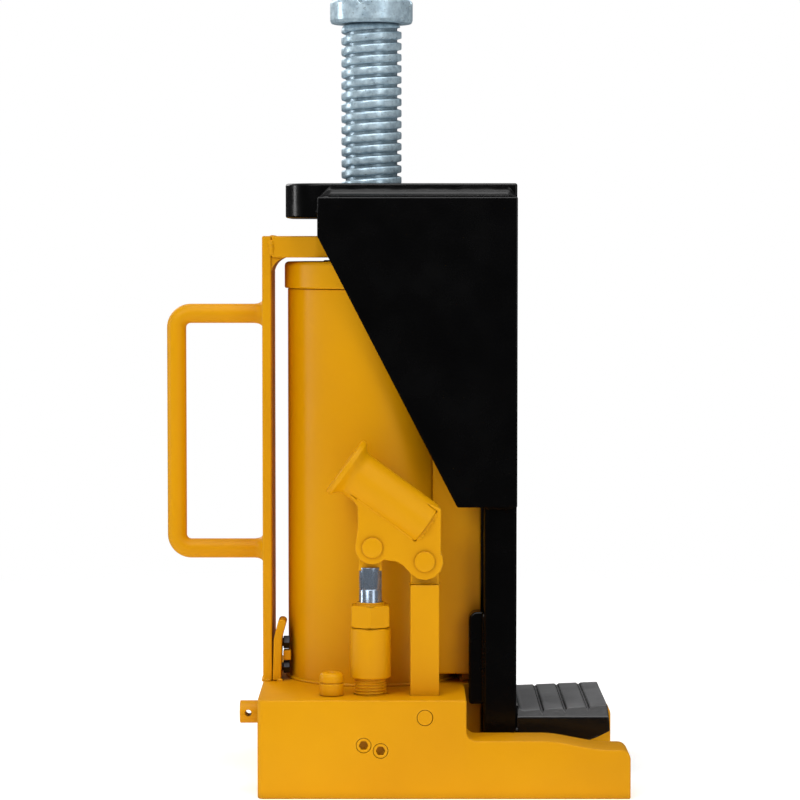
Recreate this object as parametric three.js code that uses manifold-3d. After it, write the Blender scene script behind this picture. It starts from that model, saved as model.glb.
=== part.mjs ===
// A hydraulic toe jack: a vertical cylinder on a forked base, with a carriage that lifts on its
// ram, and a lever pump beside it. Millimetres, +Z up, +X towards the toe, -Y is the pump side.
// The origin is on the underside of the base, on the common axis of cylinder, ram and screw.

import * as THREE from 'three';
import { mergeVertices } from 'three/addons/utils/BufferGeometryUtils.js';
import Module from 'manifold-3d';

const wasm = await Module();
wasm.setup();

// ---------------------------------------------------------------- driving dimensions

const gap = 0.3;               // between pieces that touch, and round pieces that turn or slide
const fineSides = 64;          // facets round the large turned pieces
const ramSides = 48;
const coarseSides = 24;        // facets round small ones
const springSides = 5;
const arcSteps = 3;            // half the facets of a rounded corner

const block = { rear: -68, front: 58, right: -107, left: 85, top: 60, corner: 4 };
const tongue = { front: 68.5, halfWidth: 38 };
const rail = { rightInner: -75, leftInner: 62, front: 157, top: 35.3, tip: 30, fillet: 6, round: 6 };
const railSlope = { from: 104, to: 144 };

const reservoir = { outer: 53, inner: 49, top: 306 };
const cap = { outer: 55, top: 323, chamfer: 1.5 };
const pressure = { outer: 36, inner: 28.3, bottom: 54 };
const ram = { radius: 26, bottom: 62, top: 349.7, bore: 19.3, boreBottom: 180 };
const pistonGroove = { radius: 23, depth: 7 };
const oilWell = { radius: 20, bottom: 46, passage: 2 };

const guide = { rear: 38, front: 68.5, halfWidth: 38, bottom: 65.7, shoulder: 304, neckRear: 57 };
const bar = { rear: -68, thick: 5.7, halfWidth: 30 };
const arm = { bottom: 325.6, top: 339, wideHalf: 38, wideFrom: -34 };

const grip = { radius: 6.1, reach: -123.6, upper: 290.1, lower: 140.8, bend: 9, bendSteps: 6 };
const clip = { thick: 5.2, right: -30, left: -12, foot: -59.4, knee: -58.6, kneeZ: 87, tip: -55.4, tipZ: 98.4 };
const clipBolt = { y: -21, shank: 2.6, head: 4.4, headFrom: -55.4, headThick: 4, upper: 83.5, lower: 68 };

const plate = { bottom: 350, top: 371.3, rear: -53, front: 90, halfWidth: 57, corner: 24 };
const gusset = { thick: 8, top: 362.8, rear: -32.6, tabBottom: 338.8, tip: 53.2, bottom: 172.5 };
const back = { rear: 70, front: 90, bottom: 10 };
const cheek = { rear: 60.7, inner: 39, outer: 53, bottom: 49.2, top: 106.6, round: 5 };
const toe = { tip: 148, topTip: 147, halfWidth: 57, rootTop: 45.2, tipTop: 47.9, fillet: 5 };
const toeUnder = { root: 10, nose: 33, heel: 29, heelX: 140 };
const toeBevel = { across: 9, down: 6.2 };
const toeGroove = { first: 106.2, step: 14.25, count: 3, halfWidth: 1.1, depth: 1.6 };

const screw = { radius: 19, bottom: 300, headBottom: 472.4, top: 489, head: 26, chamfer: 3.4 };
const screwSlot = { half: 5, depth: 5.4, turn: -15 };
const stop = { radius: 18.4, thick: 5, bolt: 4, boltHead: 7, boltHeadThick: 5, boltReach: 16 };

const pump = { x: 0, y: -80, foot: 10, footBottom: 45.3, shoulder: 70.2, body: 12.35, bodyTop: 101.3 };
const gland = { flats: 23.2, top: 114.8, collar: 8.6, collarTop: 116.5 };
const plunger = { radius: 7, bottom: 66, top: 137.8, eyeX: 1.2, eyeZ: 150.5, eye: 7.2, tang: 8.6, pin: 3.8 };
const plungerSlot = { rear: -1.2, front: 3.4, radius: 4.35, drop: 0.25 };
const post = { x: 33, halfWidth: 8.75, halfThick: 8, bottom: 30.3, shoulder: 127.6, eyeRadius: 8.6, tang: 8.6 };
const pivot = { x: 33, y: -80, z: 142, pin: 5, head: 6.3, headThick: 2.2 };
const lever = { outer: 9.3, inner: 4.8, lobe: 11.4, plungerLobe: 10.4, frontEdge: 42.8, topZ: 174 };
const socket = { outer: 14.3, inner: 11.8, mouthX: -15.9, mouthZ: 199.7, endX: 33.8, endZ: 163.4 };
const socketLip = { radius: 19.2, thick: 3.2, flare: 4 };

const valve = { y: -80, z: 49, radius: 6.9, tip: -79.6, inner: -34, crossHole: 2, crossX: -74.4 };
const postPin = { z: 49.4, radius: 4.65, length: 44 };
const plug = { radius: 4.4, length: 12, hexFlats: 5, hexDepth: 4 };
const plugPlaces = { relief_plug: [-3.9, 32.7], check_plug: [6.3, 29.4] };
const plugSpring = { radius: 2.5, wire: 0.45, turns: 3, length: 9, steps: 9 };
const plugBall = 3;
const filler = { x: -23.7, y: -86, radius: 7.35, seam: 67.4, top: 74.2, stem: 5, stemBottom: 52 };

// ---------------------------------------------------------------- materials

const paint = (colour, roughness) => new THREE.MeshStandardMaterial({ color: colour, roughness });
const metal = (colour, roughness) =>
  new THREE.MeshStandardMaterial({ color: colour, roughness, metalness: 1 });

const yellowPaint = paint(0xe09800, 0.4);
const blackPaint = paint(0x0b0b0c, 0.25);
const zincPlate = metal(0xb9c4cf, 0.35);
const chromePlate = metal(0xd8dee4, 0.1);
const plainSteel = metal(0x8c8f93, 0.4);
const darkSteel = metal(0x2a2a2c, 0.5);
const sealRubber = paint(0x151515, 0.8);
const bronze = metal(0xa9782f, 0.4);

// ---------------------------------------------------------------- solids

// A closed geometry becomes a manifold solid. Poles of turned shapes give triangles with two
// equal corners, which are left out, and an inside-out shape is turned round.
function toSolid(geometry) {
  const bare = geometry.clone();
  bare.deleteAttribute('normal');
  bare.deleteAttribute('uv');
  const merged = mergeVertices(bare, 1e-3);
  const corners = Array.from(merged.index.array);
  const place = merged.attributes.position;
  const triangles = [];
  const [a, b, c] = [new THREE.Vector3(), new THREE.Vector3(), new THREE.Vector3()];
  let volume = 0;
  for (let i = 0; i < corners.length; i += 3) {
    const [p, q, r] = corners.slice(i, i + 3);
    if (p !== q && q !== r && r !== p) {
      triangles.push(p, q, r);
      a.fromBufferAttribute(place, p);
      b.fromBufferAttribute(place, q);
      c.fromBufferAttribute(place, r);
      volume += a.dot(b.cross(c));
    }
  }
  if (volume < 0) {
    triangles.reverse();
  }
  return new wasm.Manifold(new wasm.Mesh({
    numProp: 3,
    vertProperties: Float32Array.from(place.array),
    triVerts: Uint32Array.from(triangles),
  }));
}

function toGeometry(solid) {
  const mesh = solid.getMesh();
  const geometry = new THREE.BufferGeometry();
  geometry.setAttribute('position', new THREE.BufferAttribute(mesh.vertProperties, 3));
  geometry.setIndex(new THREE.BufferAttribute(mesh.triVerts, 1));
  geometry.computeVertexNormals();
  return geometry;
}

// Adds one named piece to a group.
function addPiece(group, name, solid, material) {
  const piece = new THREE.Mesh(toGeometry(solid), material);
  piece.name = name;
  group.add(piece);
  return piece;
}

const turnToX = new THREE.Matrix4().makeBasis(
  new THREE.Vector3(0, 1, 0), new THREE.Vector3(0, 0, 1), new THREE.Vector3(1, 0, 0));

// A round bar along Z, X or Y between two heights on that axis, at its two other coordinates.
function rodZ(radius, from, to, x = 0, y = 0, sides = coarseSides) {
  const geometry = new THREE.CylinderGeometry(radius, radius, to - from, sides);
  geometry.rotateX(Math.PI / 2);
  return toSolid(geometry.translate(x, y, (from + to) / 2));
}

function rodX(radius, from, to, y, z, sides = coarseSides) {
  const geometry = new THREE.CylinderGeometry(radius, radius, to - from, sides);
  geometry.rotateZ(Math.PI / 2);
  return toSolid(geometry.translate((from + to) / 2, y, z));
}

function rodY(radius, from, to, x, z, sides = coarseSides) {
  const geometry = new THREE.CylinderGeometry(radius, radius, to - from, sides);
  return toSolid(geometry.translate(x, (from + to) / 2, z));
}

function box(x0, x1, y0, y1, z0, z1) {
  const geometry = new THREE.BoxGeometry(x1 - x0, y1 - y0, z1 - z0);
  return toSolid(geometry.translate((x0 + x1) / 2, (y0 + y1) / 2, (z0 + z1) / 2));
}

// A turned piece about Z from [radius, height] pairs.
function turned(profile, sides = coarseSides) {
  const points = profile.map(([radius, height]) => new THREE.Vector2(radius, height));
  const geometry = new THREE.LatheGeometry(points, sides);
  return toSolid(geometry.rotateX(Math.PI / 2));
}

function ring(inner, outer, from, to, sides = coarseSides) {
  return turned([[inner, from], [outer, from], [outer, to], [inner, to], [inner, from]], sides);
}

// A closed outline from [x, y, corner radius] entries, with each rounded corner as an arc.
function outline(corners) {
  const shape = new THREE.Shape();
  corners.forEach(([x, y, radius = 0], i) => {
    const here = new THREE.Vector2(x, y);
    const before = new THREE.Vector2(...corners[(i + corners.length - 1) % corners.length].slice(0, 2));
    const after = new THREE.Vector2(...corners[(i + 1) % corners.length].slice(0, 2));
    const inward = before.sub(here).normalize();
    const onward = after.sub(here).normalize();
    const half = Math.acos(THREE.MathUtils.clamp(inward.dot(onward), -1, 1)) / 2;
    const start = inward.clone().multiplyScalar(radius / Math.tan(half)).add(here);
    if (i === 0) {
      shape.moveTo(start.x, start.y);
    } else {
      shape.lineTo(start.x, start.y);
    }
    if (radius > 0) {
      const middle = inward.clone().add(onward).normalize();
      const centre = middle.multiplyScalar(radius / Math.sin(half)).add(here);
      const end = onward.clone().multiplyScalar(radius / Math.tan(half)).add(here);
      const from = start.sub(centre).angle();
      const to = end.sub(centre).angle();
      const turnsLeft = inward.cross(onward) < 0;
      shape.absarc(centre.x, centre.y, radius, from, to, !turnsLeft);
    }
  });
  shape.closePath();
  return shape;
}

// An outline in the XY, XZ or YZ plane, made solid between two places on the third axis.
function extrude(shape, depth) {
  return new THREE.ExtrudeGeometry(shape, { depth, bevelEnabled: false, curveSegments: arcSteps });
}

function extrudeZ(shape, from, to) {
  return toSolid(extrude(shape, to - from).translate(0, 0, from));
}

function extrudeY(shape, from, to) {
  return toSolid(extrude(shape, to - from).rotateX(Math.PI / 2).translate(0, to, 0));
}

function extrudeX(shape, from, to) {
  return toSolid(extrude(shape, to - from).applyMatrix4(turnToX).translate(from, 0, 0));
}

function hexagon(flats, turn = 0) {
  const radius = flats / 2 / Math.cos(Math.PI / 6);
  const corner = (i) => turn + (i * Math.PI) / 3;
  return outline([0, 1, 2, 3, 4, 5].map((i) => [
    radius * Math.cos(corner(i)), radius * Math.sin(corner(i))]));
}

// ---------------------------------------------------------------- base

function railOutline() {
  const shape = new THREE.Shape();
  const end = block.front + rail.fillet;
  shape.moveTo(block.front - 8, 0);
  shape.lineTo(block.front - 8, rail.top + rail.fillet);
  shape.lineTo(block.front, rail.top + rail.fillet);
  shape.absarc(end, rail.top + rail.fillet, rail.fillet, Math.PI, Math.PI * 1.5, false);
  shape.lineTo(railSlope.from, rail.top);
  const middle = (railSlope.from + railSlope.to) / 2;
  shape.bezierCurveTo(middle, rail.top, middle, rail.tip, railSlope.to, rail.tip);
  shape.lineTo(rail.front - rail.round, rail.tip);
  shape.absarc(rail.front - rail.round, rail.tip - rail.round, rail.round, Math.PI / 2, 0, true);
  shape.lineTo(rail.front, 0);
  shape.closePath();
  return shape;
}

function makeBaseBlock() {
  const rearPart = extrudeZ(outline([
    [block.rear, block.right, block.corner], [block.front, block.right, block.corner],
    [block.front, block.left, block.corner], [block.rear, block.left, block.corner],
  ]), 0, block.top);
  const tonguePart = box(block.front - 1, tongue.front, -tongue.halfWidth, tongue.halfWidth, 0, block.top);
  const rails = extrudeY(railOutline(), block.right, rail.rightInner)
    .add(extrudeY(railOutline(), rail.leftInner, block.left));
  let solid = rearPart.add(tonguePart).add(rails);
  const cuts = [
    rodZ(pressure.outer + gap, pressure.bottom - 2, block.top + 1, 0, 0, fineSides),
    rodZ(oilWell.radius, oilWell.bottom, block.top),
    rodY(oilWell.passage, pump.y + 6, -10, 0, oilWell.bottom + 3, 12),
    rodZ(pump.foot + gap, pump.footBottom - gap, block.top + 1, pump.x, pump.y),
    box(post.x - post.halfWidth - gap, post.x + post.halfWidth + gap, pivot.y - post.halfThick - gap,
      pivot.y + post.halfThick + gap, post.bottom - gap, block.top + 1),
    rodY(postPin.radius + gap, block.right - 1, block.right + postPin.length + 1, post.x, postPin.z),
    rodX(valve.radius + gap, block.rear - 1, valve.inner + 2, valve.y, valve.z),
    rodZ(filler.stem + gap, filler.stemBottom - 1, block.top + 1, filler.x, filler.y),
  ];
  for (const [x, z] of Object.values(plugPlaces)) {
    cuts.push(rodY(plug.radius + gap, block.right - 1, block.right + plug.length + gap, x, z));
    cuts.push(rodY(plugBall + gap, block.right + plug.length, pump.y + 4, x, z, 16));
  }
  for (const cut of cuts) {
    solid = solid.subtract(cut);
  }
  return solid;
}

// ---------------------------------------------------------------- cylinder

function makeReservoirTube() {
  return ring(reservoir.inner, reservoir.outer, block.top + gap, reservoir.top, fineSides);
}

function makeReservoirCap() {
  const hole = ram.radius + gap;
  const wiperHole = ram.radius + 4.6;
  const bottom = reservoir.top + gap;
  return turned([
    [hole, bottom], [cap.outer, bottom], [cap.outer, cap.top - cap.chamfer],
    [cap.outer - cap.chamfer, cap.top], [wiperHole, cap.top], [wiperHole, cap.top - 6],
    [hole, cap.top - 6], [hole, bottom],
  ], fineSides);
}

function addCylinder(group) {
  addPiece(group, 'reservoir_tube', makeReservoirTube(), yellowPaint);
  addPiece(group, 'reservoir_cap', makeReservoirCap(), yellowPaint);
  addPiece(group, 'pressure_cylinder',
    ring(pressure.inner, pressure.outer, pressure.bottom, reservoir.top, ramSides), plainSteel);
  addPiece(group, 'cylinder_gasket',
    ring(pressure.inner, pressure.outer - 1, pressure.bottom - 1.7, pressure.bottom - gap), bronze);
  addPiece(group, 'gland_bush',
    ring(ram.radius + gap, pressure.inner - gap, reservoir.top - 22, reservoir.top, ramSides), bronze);
  addPiece(group, 'wiper_seal',
    ring(ram.radius + gap, ram.radius + 4.3, cap.top - 5.7, cap.top + 0.8, ramSides), sealRubber);
}

// ---------------------------------------------------------------- frame round the cylinder

function makeFrontGuide() {
  const body = box(guide.rear, guide.front, -guide.halfWidth, guide.halfWidth, guide.bottom, guide.shoulder);
  const neck = box(guide.neckRear, guide.front, -guide.halfWidth, guide.halfWidth,
    guide.shoulder - 1, arm.bottom - gap);
  const foot = box(guide.neckRear, guide.front, -guide.halfWidth + 10, guide.halfWidth - 10,
    block.top + gap, guide.bottom + 1);
  const hollow = rodZ(reservoir.outer + gap, block.top, guide.shoulder + 1, 0, 0, fineSides);
  return body.subtract(hollow).add(neck).add(foot);
}

function makeRearBar() {
  return box(bar.rear, bar.rear + bar.thick, -bar.halfWidth, bar.halfWidth, block.top + gap, arm.top);
}

function makeTopArm() {
  const rear = bar.rear + bar.thick + gap;
  const shape = outline([
    [rear, -bar.halfWidth], [arm.wideFrom, -arm.wideHalf, 12], [guide.front, -arm.wideHalf],
    [guide.front, arm.wideHalf], [arm.wideFrom, arm.wideHalf, 12], [rear, bar.halfWidth],
  ]);
  return extrudeZ(shape, arm.bottom, arm.top)
    .subtract(rodZ(ram.radius + 1, arm.bottom - 1, arm.top + 1, 0, 0, ramSides));
}

// The grip's centre line: out from the bar, round two quarter bends and back. Its points stand
// only where the line bends, so the parameter runs through them in equal steps.
function gripLine() {
  const corner = grip.reach + grip.bend;
  const points = [new THREE.Vector3(bar.rear - gap, 0, grip.upper)];
  for (const [z, start] of [[grip.upper - grip.bend, 90], [grip.lower + grip.bend, 180]]) {
    for (let i = 0; i <= grip.bendSteps; i += 1) {
      const angle = THREE.MathUtils.degToRad(start + (i * 90) / grip.bendSteps);
      points.push(new THREE.Vector3(
        corner + grip.bend * Math.cos(angle), 0, z + grip.bend * Math.sin(angle)));
    }
  }
  points.push(new THREE.Vector3(bar.rear - gap, 0, grip.lower));
  return points;
}

function makeCarryHandle() {
  const points = gripLine();
  const steps = points.length - 1;
  const line = new THREE.Curve();
  line.getPoint = (t) => points[Math.round(t * steps)].clone();
  line.getPointAt = line.getPoint;
  line.getTangentAt = (t) => {
    const i = Math.round(t * steps);
    const ahead = points[Math.min(i + 1, steps)].clone().sub(points[i]).normalize();
    const behind = points[i].clone().sub(points[Math.max(i - 1, 0)]).normalize();
    return ahead.add(behind).normalize();
  };
  const section = new THREE.Shape();
  section.absarc(0, 0, grip.radius, 0, Math.PI * 2, false);
  const options = { steps, curveSegments: 8, bevelEnabled: false, extrudePath: line };
  return toSolid(new THREE.ExtrudeGeometry(section, options));
}

function makeRearClip() {
  const half = clip.thick / 2;
  const shape = outline([
    [clip.foot - half, block.top + gap], [clip.foot + half, block.top + gap],
    [clip.knee + half, clip.kneeZ, 8], [clip.tip + half, clip.tipZ, 2.4],
    [clip.tip - half, clip.tipZ + 0.8, 2.4], [clip.knee - half, clip.kneeZ, 10],
  ]);
  let solid = extrudeY(shape, clip.right, clip.left);
  for (const z of [clipBolt.upper, clipBolt.lower]) {
    solid = solid.subtract(rodX(clipBolt.shank + gap, clip.foot - 10, clip.foot + 10, clipBolt.y, z, 16));
  }
  return solid;
}

function makeClipBolt(z) {
  const shape = hexagon(clipBolt.head * 2 * Math.cos(Math.PI / 6));
  const head = extrudeX(shape, clipBolt.headFrom, clipBolt.headFrom + clipBolt.headThick)
    .translate([0, clipBolt.y, z]);
  return head.add(rodX(clipBolt.shank, clip.foot - 2.2, clipBolt.headFrom + 1, clipBolt.y, z, 16));
}

function addFrame(group) {
  addPiece(group, 'front_guide', makeFrontGuide(), yellowPaint);
  addPiece(group, 'rear_bar', makeRearBar(), yellowPaint);
  addPiece(group, 'top_arm', makeTopArm(), yellowPaint);
  addPiece(group, 'carry_handle', makeCarryHandle(), yellowPaint);
  addPiece(group, 'rear_clip', makeRearClip(), yellowPaint);
  addPiece(group, 'clip_spacer',
    box(clipBolt.headFrom, -50.6, clip.right + 4, clip.left - 5, 72.7, 78.8), yellowPaint);
  addPiece(group, 'clip_bolt_upper', makeClipBolt(clipBolt.upper), darkSteel);
  addPiece(group, 'clip_bolt_lower', makeClipBolt(clipBolt.lower), darkSteel);
}

// ---------------------------------------------------------------- fittings in the base

// A threaded plug with a hexagon socket in its face, turned about its own Z, face at z = 0.
function makePlug() {
  const body = rodZ(plug.radius, -plug.length, 0);
  return body.subtract(extrudeZ(hexagon(plug.hexFlats), -plug.hexDepth, 1));
}

function makeSpring() {
  const coil = new THREE.Curve();
  coil.getPoint = (t, target = new THREE.Vector3()) => {
    const angle = t * plugSpring.turns * Math.PI * 2;
    return target.set(plugSpring.radius * Math.cos(angle), plugSpring.radius * Math.sin(angle),
      -t * plugSpring.length);
  };
  const wire = new THREE.Shape();
  for (let i = 0; i < springSides; i += 1) {
    const angle = (i * 2 * Math.PI) / springSides;
    wire[i ? 'lineTo' : 'moveTo'](plugSpring.wire * Math.cos(angle), plugSpring.wire * Math.sin(angle));
  }
  wire.closePath();
  const steps = plugSpring.turns * plugSpring.steps;
  return toSolid(new THREE.ExtrudeGeometry(wire, { steps, bevelEnabled: false, extrudePath: coil }));
}

// Each plug holds a spring against a ball, in a bore from the pump side of the base.
function addValvePlugs(group) {
  for (const [name, [x, z]] of Object.entries(plugPlaces)) {
    const stem = name.replace('_plug', '');
    const cartridge = new THREE.Group();
    cartridge.position.set(x, block.right, z);
    cartridge.rotation.x = Math.PI / 2;
    addPiece(cartridge, name, makePlug(), yellowPaint);
    const spring = addPiece(cartridge, `${stem}_spring`, makeSpring(), plainSteel);
    spring.position.z = -plug.length - plugSpring.wire - gap;
    const ballPlace = spring.position.z - plugSpring.length - plugSpring.wire - plugBall - gap + 0.2;
    const ball = addPiece(cartridge, `${stem}_ball`,
      toSolid(new THREE.SphereGeometry(plugBall - 0.2, 12, 8)), chromePlate);
    ball.position.z = ballPlace;
    group.add(cartridge);
  }
}

function addBaseFittings(group) {
  const turnedPlug = turned([
    [0, filler.stemBottom], [filler.stem, filler.stemBottom], [filler.stem, block.top + gap],
    [filler.radius, block.top + gap], [filler.radius, filler.seam], [filler.radius - 0.7, filler.seam + 0.4],
    [filler.radius, filler.seam + 0.8], [filler.radius, filler.top - 2.5], [filler.radius - 2.5, filler.top],
    [0, filler.top],
  ]);
  addPiece(group, 'filler_plug', turnedPlug, yellowPaint).position.set(filler.x, filler.y, 0);
  addPiece(group, 'post_pin',
    rodY(postPin.radius, block.right, block.right + postPin.length, post.x, postPin.z), yellowPaint);
  addValvePlugs(group);
}

function makeReleaseSpindle() {
  const body = rodX(valve.radius, valve.tip, valve.inner, valve.y, valve.z);
  const cross = rodY(valve.crossHole, valve.y - 9, valve.y + 9, valve.crossX, valve.z, 16);
  return body.subtract(cross);
}

// ---------------------------------------------------------------- pump

function makePumpBody() {
  const bore = plunger.radius + gap;
  const sealBore = plunger.radius + 3;
  return turned([
    [bore, pump.footBottom], [pump.foot, pump.footBottom], [pump.foot, pump.shoulder],
    [pump.body - 1, pump.shoulder], [pump.body, pump.shoulder + 1], [pump.body, pump.bodyTop - gap],
    [sealBore, pump.bodyTop - gap], [sealBore, pump.bodyTop - 7], [bore, pump.bodyTop - 7],
    [bore, pump.footBottom],
  ], 32);
}

function makePumpGland() {
  const chamfer = 1.2;
  const corner = gland.flats / 2 / Math.cos(Math.PI / 6);
  const trim = turned([
    [0, pump.bodyTop], [corner - chamfer, pump.bodyTop], [corner + 0.1, pump.bodyTop + chamfer],
    [corner + 0.1, gland.top - chamfer], [corner - chamfer, gland.top], [gland.collar, gland.top],
    [gland.collar, gland.collarTop], [0, gland.collarTop],
  ], 32);
  const hex = extrudeZ(hexagon(gland.flats, Math.PI / 6), pump.bodyTop, gland.top);
  const collar = rodZ(gland.collar, gland.top - 1, gland.collarTop);
  return hex.intersect(trim).add(collar)
    .subtract(rodZ(plunger.radius + gap, pump.bodyTop - 1, gland.collarTop + 1));
}

// The plunger's eye is a slot, in which the lever's pin moves along as it swings.
function makePlunger() {
  const half = plunger.tang / 2;
  const rear = plunger.eyeX + plungerSlot.rear;
  const front = plunger.eyeX + plungerSlot.front;
  const rod = rodZ(plunger.radius, plunger.bottom, plunger.top);
  const neck = box(-plunger.radius, plunger.radius, -half, half, plunger.top - 2, plunger.eyeZ);
  const eye = rodY(plunger.eye, -half, half, rear, plunger.eyeZ)
    .add(rodY(plunger.eye, -half, half, front, plunger.eyeZ))
    .add(box(rear, front, -half, half, plunger.eyeZ - plunger.eye, plunger.eyeZ + plunger.eye));
  const slotZ = plunger.eyeZ - plungerSlot.drop;
  const reach = half + 1;
  const slot = rodY(plungerSlot.radius, -reach, reach, rear, slotZ)
    .add(rodY(plungerSlot.radius, -reach, reach, front, slotZ))
    .add(box(rear, front, -reach, reach, slotZ - plungerSlot.radius, slotZ + plungerSlot.radius));
  return rod.add(neck).add(eye).subtract(slot);
}

function makePin(shank) {
  const reach = lever.outer + gap;
  return rodY(shank, -reach, reach, 0, 0)
    .add(rodY(pivot.head, -reach - pivot.headThick, -reach, 0, 0))
    .add(rodY(pivot.head, reach, reach + pivot.headThick, 0, 0));
}

function addPump(group) {
  const onAxis = new THREE.Group();
  onAxis.position.set(pump.x, pump.y, 0);
  addPiece(onAxis, 'pump_body', makePumpBody(), yellowPaint);
  addPiece(onAxis, 'pump_gland', makePumpGland(), yellowPaint);
  addPiece(onAxis, 'pump_seal',
    ring(plunger.radius + gap, plunger.radius + 2.7, pump.bodyTop - 6.6, pump.bodyTop - 0.7), sealRubber);
  addPiece(onAxis, 'pump_plunger', makePlunger(), chromePlate);
  group.add(onAxis);
}

function makeLeverPost() {
  const low = box(post.x - post.halfWidth, post.x + post.halfWidth, pivot.y - post.halfThick,
    pivot.y + post.halfThick, post.bottom, post.shoulder);
  const half = post.tang / 2;
  const neck = box(post.x - post.eyeRadius, post.x + post.eyeRadius, pivot.y - half, pivot.y + half,
    post.shoulder - 1, pivot.z);
  const eye = rodY(post.eyeRadius, pivot.y - half, pivot.y + half, pivot.x, pivot.z);
  const pivotHole = rodY(pivot.pin + 0.1, pivot.y - 10, pivot.y + 10, pivot.x, pivot.z);
  const pinHole = rodY(postPin.radius + 0.1, pivot.y - 10, pivot.y + 10, post.x, postPin.z);
  return low.add(neck).add(eye).subtract(pivotHole).subtract(pinHole);
}

// ---------------------------------------------------------------- pump lever

// The side plate's outline in XZ, counted from the pivot: two lobes round the pins with an arch
// between them, a straight front edge, and a hollow rear edge that runs up to the socket's mouth.
function leverPlateOutline() {
  const pinX = plunger.eyeX - pivot.x;
  const pinZ = plunger.eyeZ - pivot.z;
  const front = lever.frontEdge - pivot.x;
  const shape = new THREE.Shape();
  shape.moveTo(front, lever.topZ - pivot.z);
  shape.lineTo(front, 4);
  shape.absarc(0, 0, lever.lobe, Math.atan2(4, front), -Math.PI * 0.78, true);
  shape.quadraticCurveTo(-15, 1.5, -22, 0.4);
  shape.absarc(pinX, pinZ, lever.plungerLobe, -Math.PI / 4, -Math.PI, true);
  shape.bezierCurveTo(-41, 22, -36, 34, -47.5, 43.5);
  shape.lineTo(socket.mouthX - pivot.x + 8, socket.mouthZ - pivot.z - 4);
  shape.closePath();
  return shape;
}

function socketDirection() {
  return new THREE.Vector3(socket.mouthX - socket.endX, 0, socket.mouthZ - socket.endZ);
}

// The socket is turned about its own Z with its inner end at the origin and its mouth upwards.
function makeHandleSocket() {
  const length = socketDirection().length();
  const lipFrom = length - socketLip.thick;
  return turned([
    [0, 0], [socket.outer - 0.8, 0], [socket.outer, 0.8], [socket.outer, lipFrom - socketLip.flare],
    [socketLip.radius, lipFrom], [socketLip.radius, length - 0.6], [socketLip.radius - 0.6, length],
    [socket.inner + 1, length], [socket.inner, length - 1], [socket.inner, 6], [0, 6],
  ], 32);
}

function placeSocket(object) {
  object.position.set(socket.endX - pivot.x, 0, socket.endZ - pivot.z);
  object.quaternion.setFromUnitVectors(new THREE.Vector3(0, 0, 1), socketDirection().normalize());
  object.updateMatrix();
}

function makeLeverPlate(from, to) {
  const pinX = plunger.eyeX - pivot.x;
  const pinZ = plunger.eyeZ - pivot.z;
  const clearance = new THREE.Object3D();
  placeSocket(clearance);
  const length = socketDirection().length();
  const lipRoom = new THREE.CylinderGeometry(socketLip.radius + gap, socketLip.radius + gap, 12, 32);
  lipRoom.rotateX(Math.PI / 2).translate(0, 0, length - 2.5).applyMatrix4(clearance.matrix);
  const room = new THREE.CylinderGeometry(socket.outer + gap, socket.outer + gap, length + gap, 32);
  room.rotateX(Math.PI / 2).translate(0, 0, length / 2).applyMatrix4(clearance.matrix);
  return extrudeY(leverPlateOutline(), from, to)
    .subtract(rodY(pivot.pin + gap, from - 1, to + 1, 0, 0))
    .subtract(rodY(plunger.pin + gap, from - 1, to + 1, pinX, pinZ))
    .subtract(toSolid(room))
    .subtract(toSolid(lipRoom));
}

function addLever(group) {
  const swinging = new THREE.Group();
  swinging.position.set(pivot.x, pivot.y, pivot.z);
  addPiece(swinging, 'lever_plate_right', makeLeverPlate(-lever.outer, -lever.inner), yellowPaint);
  addPiece(swinging, 'lever_plate_left', makeLeverPlate(lever.inner, lever.outer), yellowPaint);
  placeSocket(addPiece(swinging, 'handle_socket', makeHandleSocket(), yellowPaint));
  addPiece(swinging, 'pivot_pin', makePin(pivot.pin), yellowPaint);
  const drivingPin = addPiece(swinging, 'plunger_pin', makePin(plunger.pin), yellowPaint);
  drivingPin.position.set(plunger.eyeX - pivot.x, 0, plunger.eyeZ - pivot.z);
  group.add(swinging);
}

// ---------------------------------------------------------------- carriage

function makeRam() {
  const groove = (from) => ring(
    pistonGroove.radius, ram.radius + 1, from, from + pistonGroove.depth, ramSides);
  const body = turned([
    [0, ram.bottom], [ram.radius - 2, ram.bottom], [ram.radius, ram.bottom + 2], [ram.radius, ram.top],
    [ram.bore, ram.top], [ram.bore, ram.boreBottom], [0, ram.boreBottom - 8],
  ], ramSides);
  return body.subtract(groove(ram.bottom + 7)).subtract(groove(ram.bottom + 19));
}

function makeHeadPlate() {
  const shape = outline([
    [plate.rear, -plate.halfWidth, plate.corner], [plate.front, -plate.halfWidth],
    [plate.front, plate.halfWidth], [plate.rear, plate.halfWidth, plate.corner],
  ]);
  return extrudeZ(shape, plate.bottom, plate.top)
    .subtract(rodZ(screw.radius + gap, plate.bottom - 1, plate.top + 1, 0, 0, ramSides));
}

function makeGusset(side) {
  const shape = outline([
    [gusset.rear, gusset.top], [gusset.rear, gusset.tabBottom], [gusset.tip, gusset.bottom],
    [plate.front, gusset.bottom], [plate.front, gusset.top],
  ]);
  const inner = plate.halfWidth + gap;
  const outer = inner + gusset.thick;
  return side > 0 ? extrudeY(shape, inner, outer) : extrudeY(shape, -outer, -inner);
}

function makeGuideCheek(side) {
  const shape = outline([
    [cheek.rear, cheek.bottom, 2], [back.rear - gap, cheek.bottom],
    [back.rear - gap, cheek.top], [cheek.rear, cheek.top, cheek.round],
  ]);
  return side > 0 ? extrudeY(shape, cheek.inner, cheek.outer) : extrudeY(shape, -cheek.outer, -cheek.inner);
}

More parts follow.
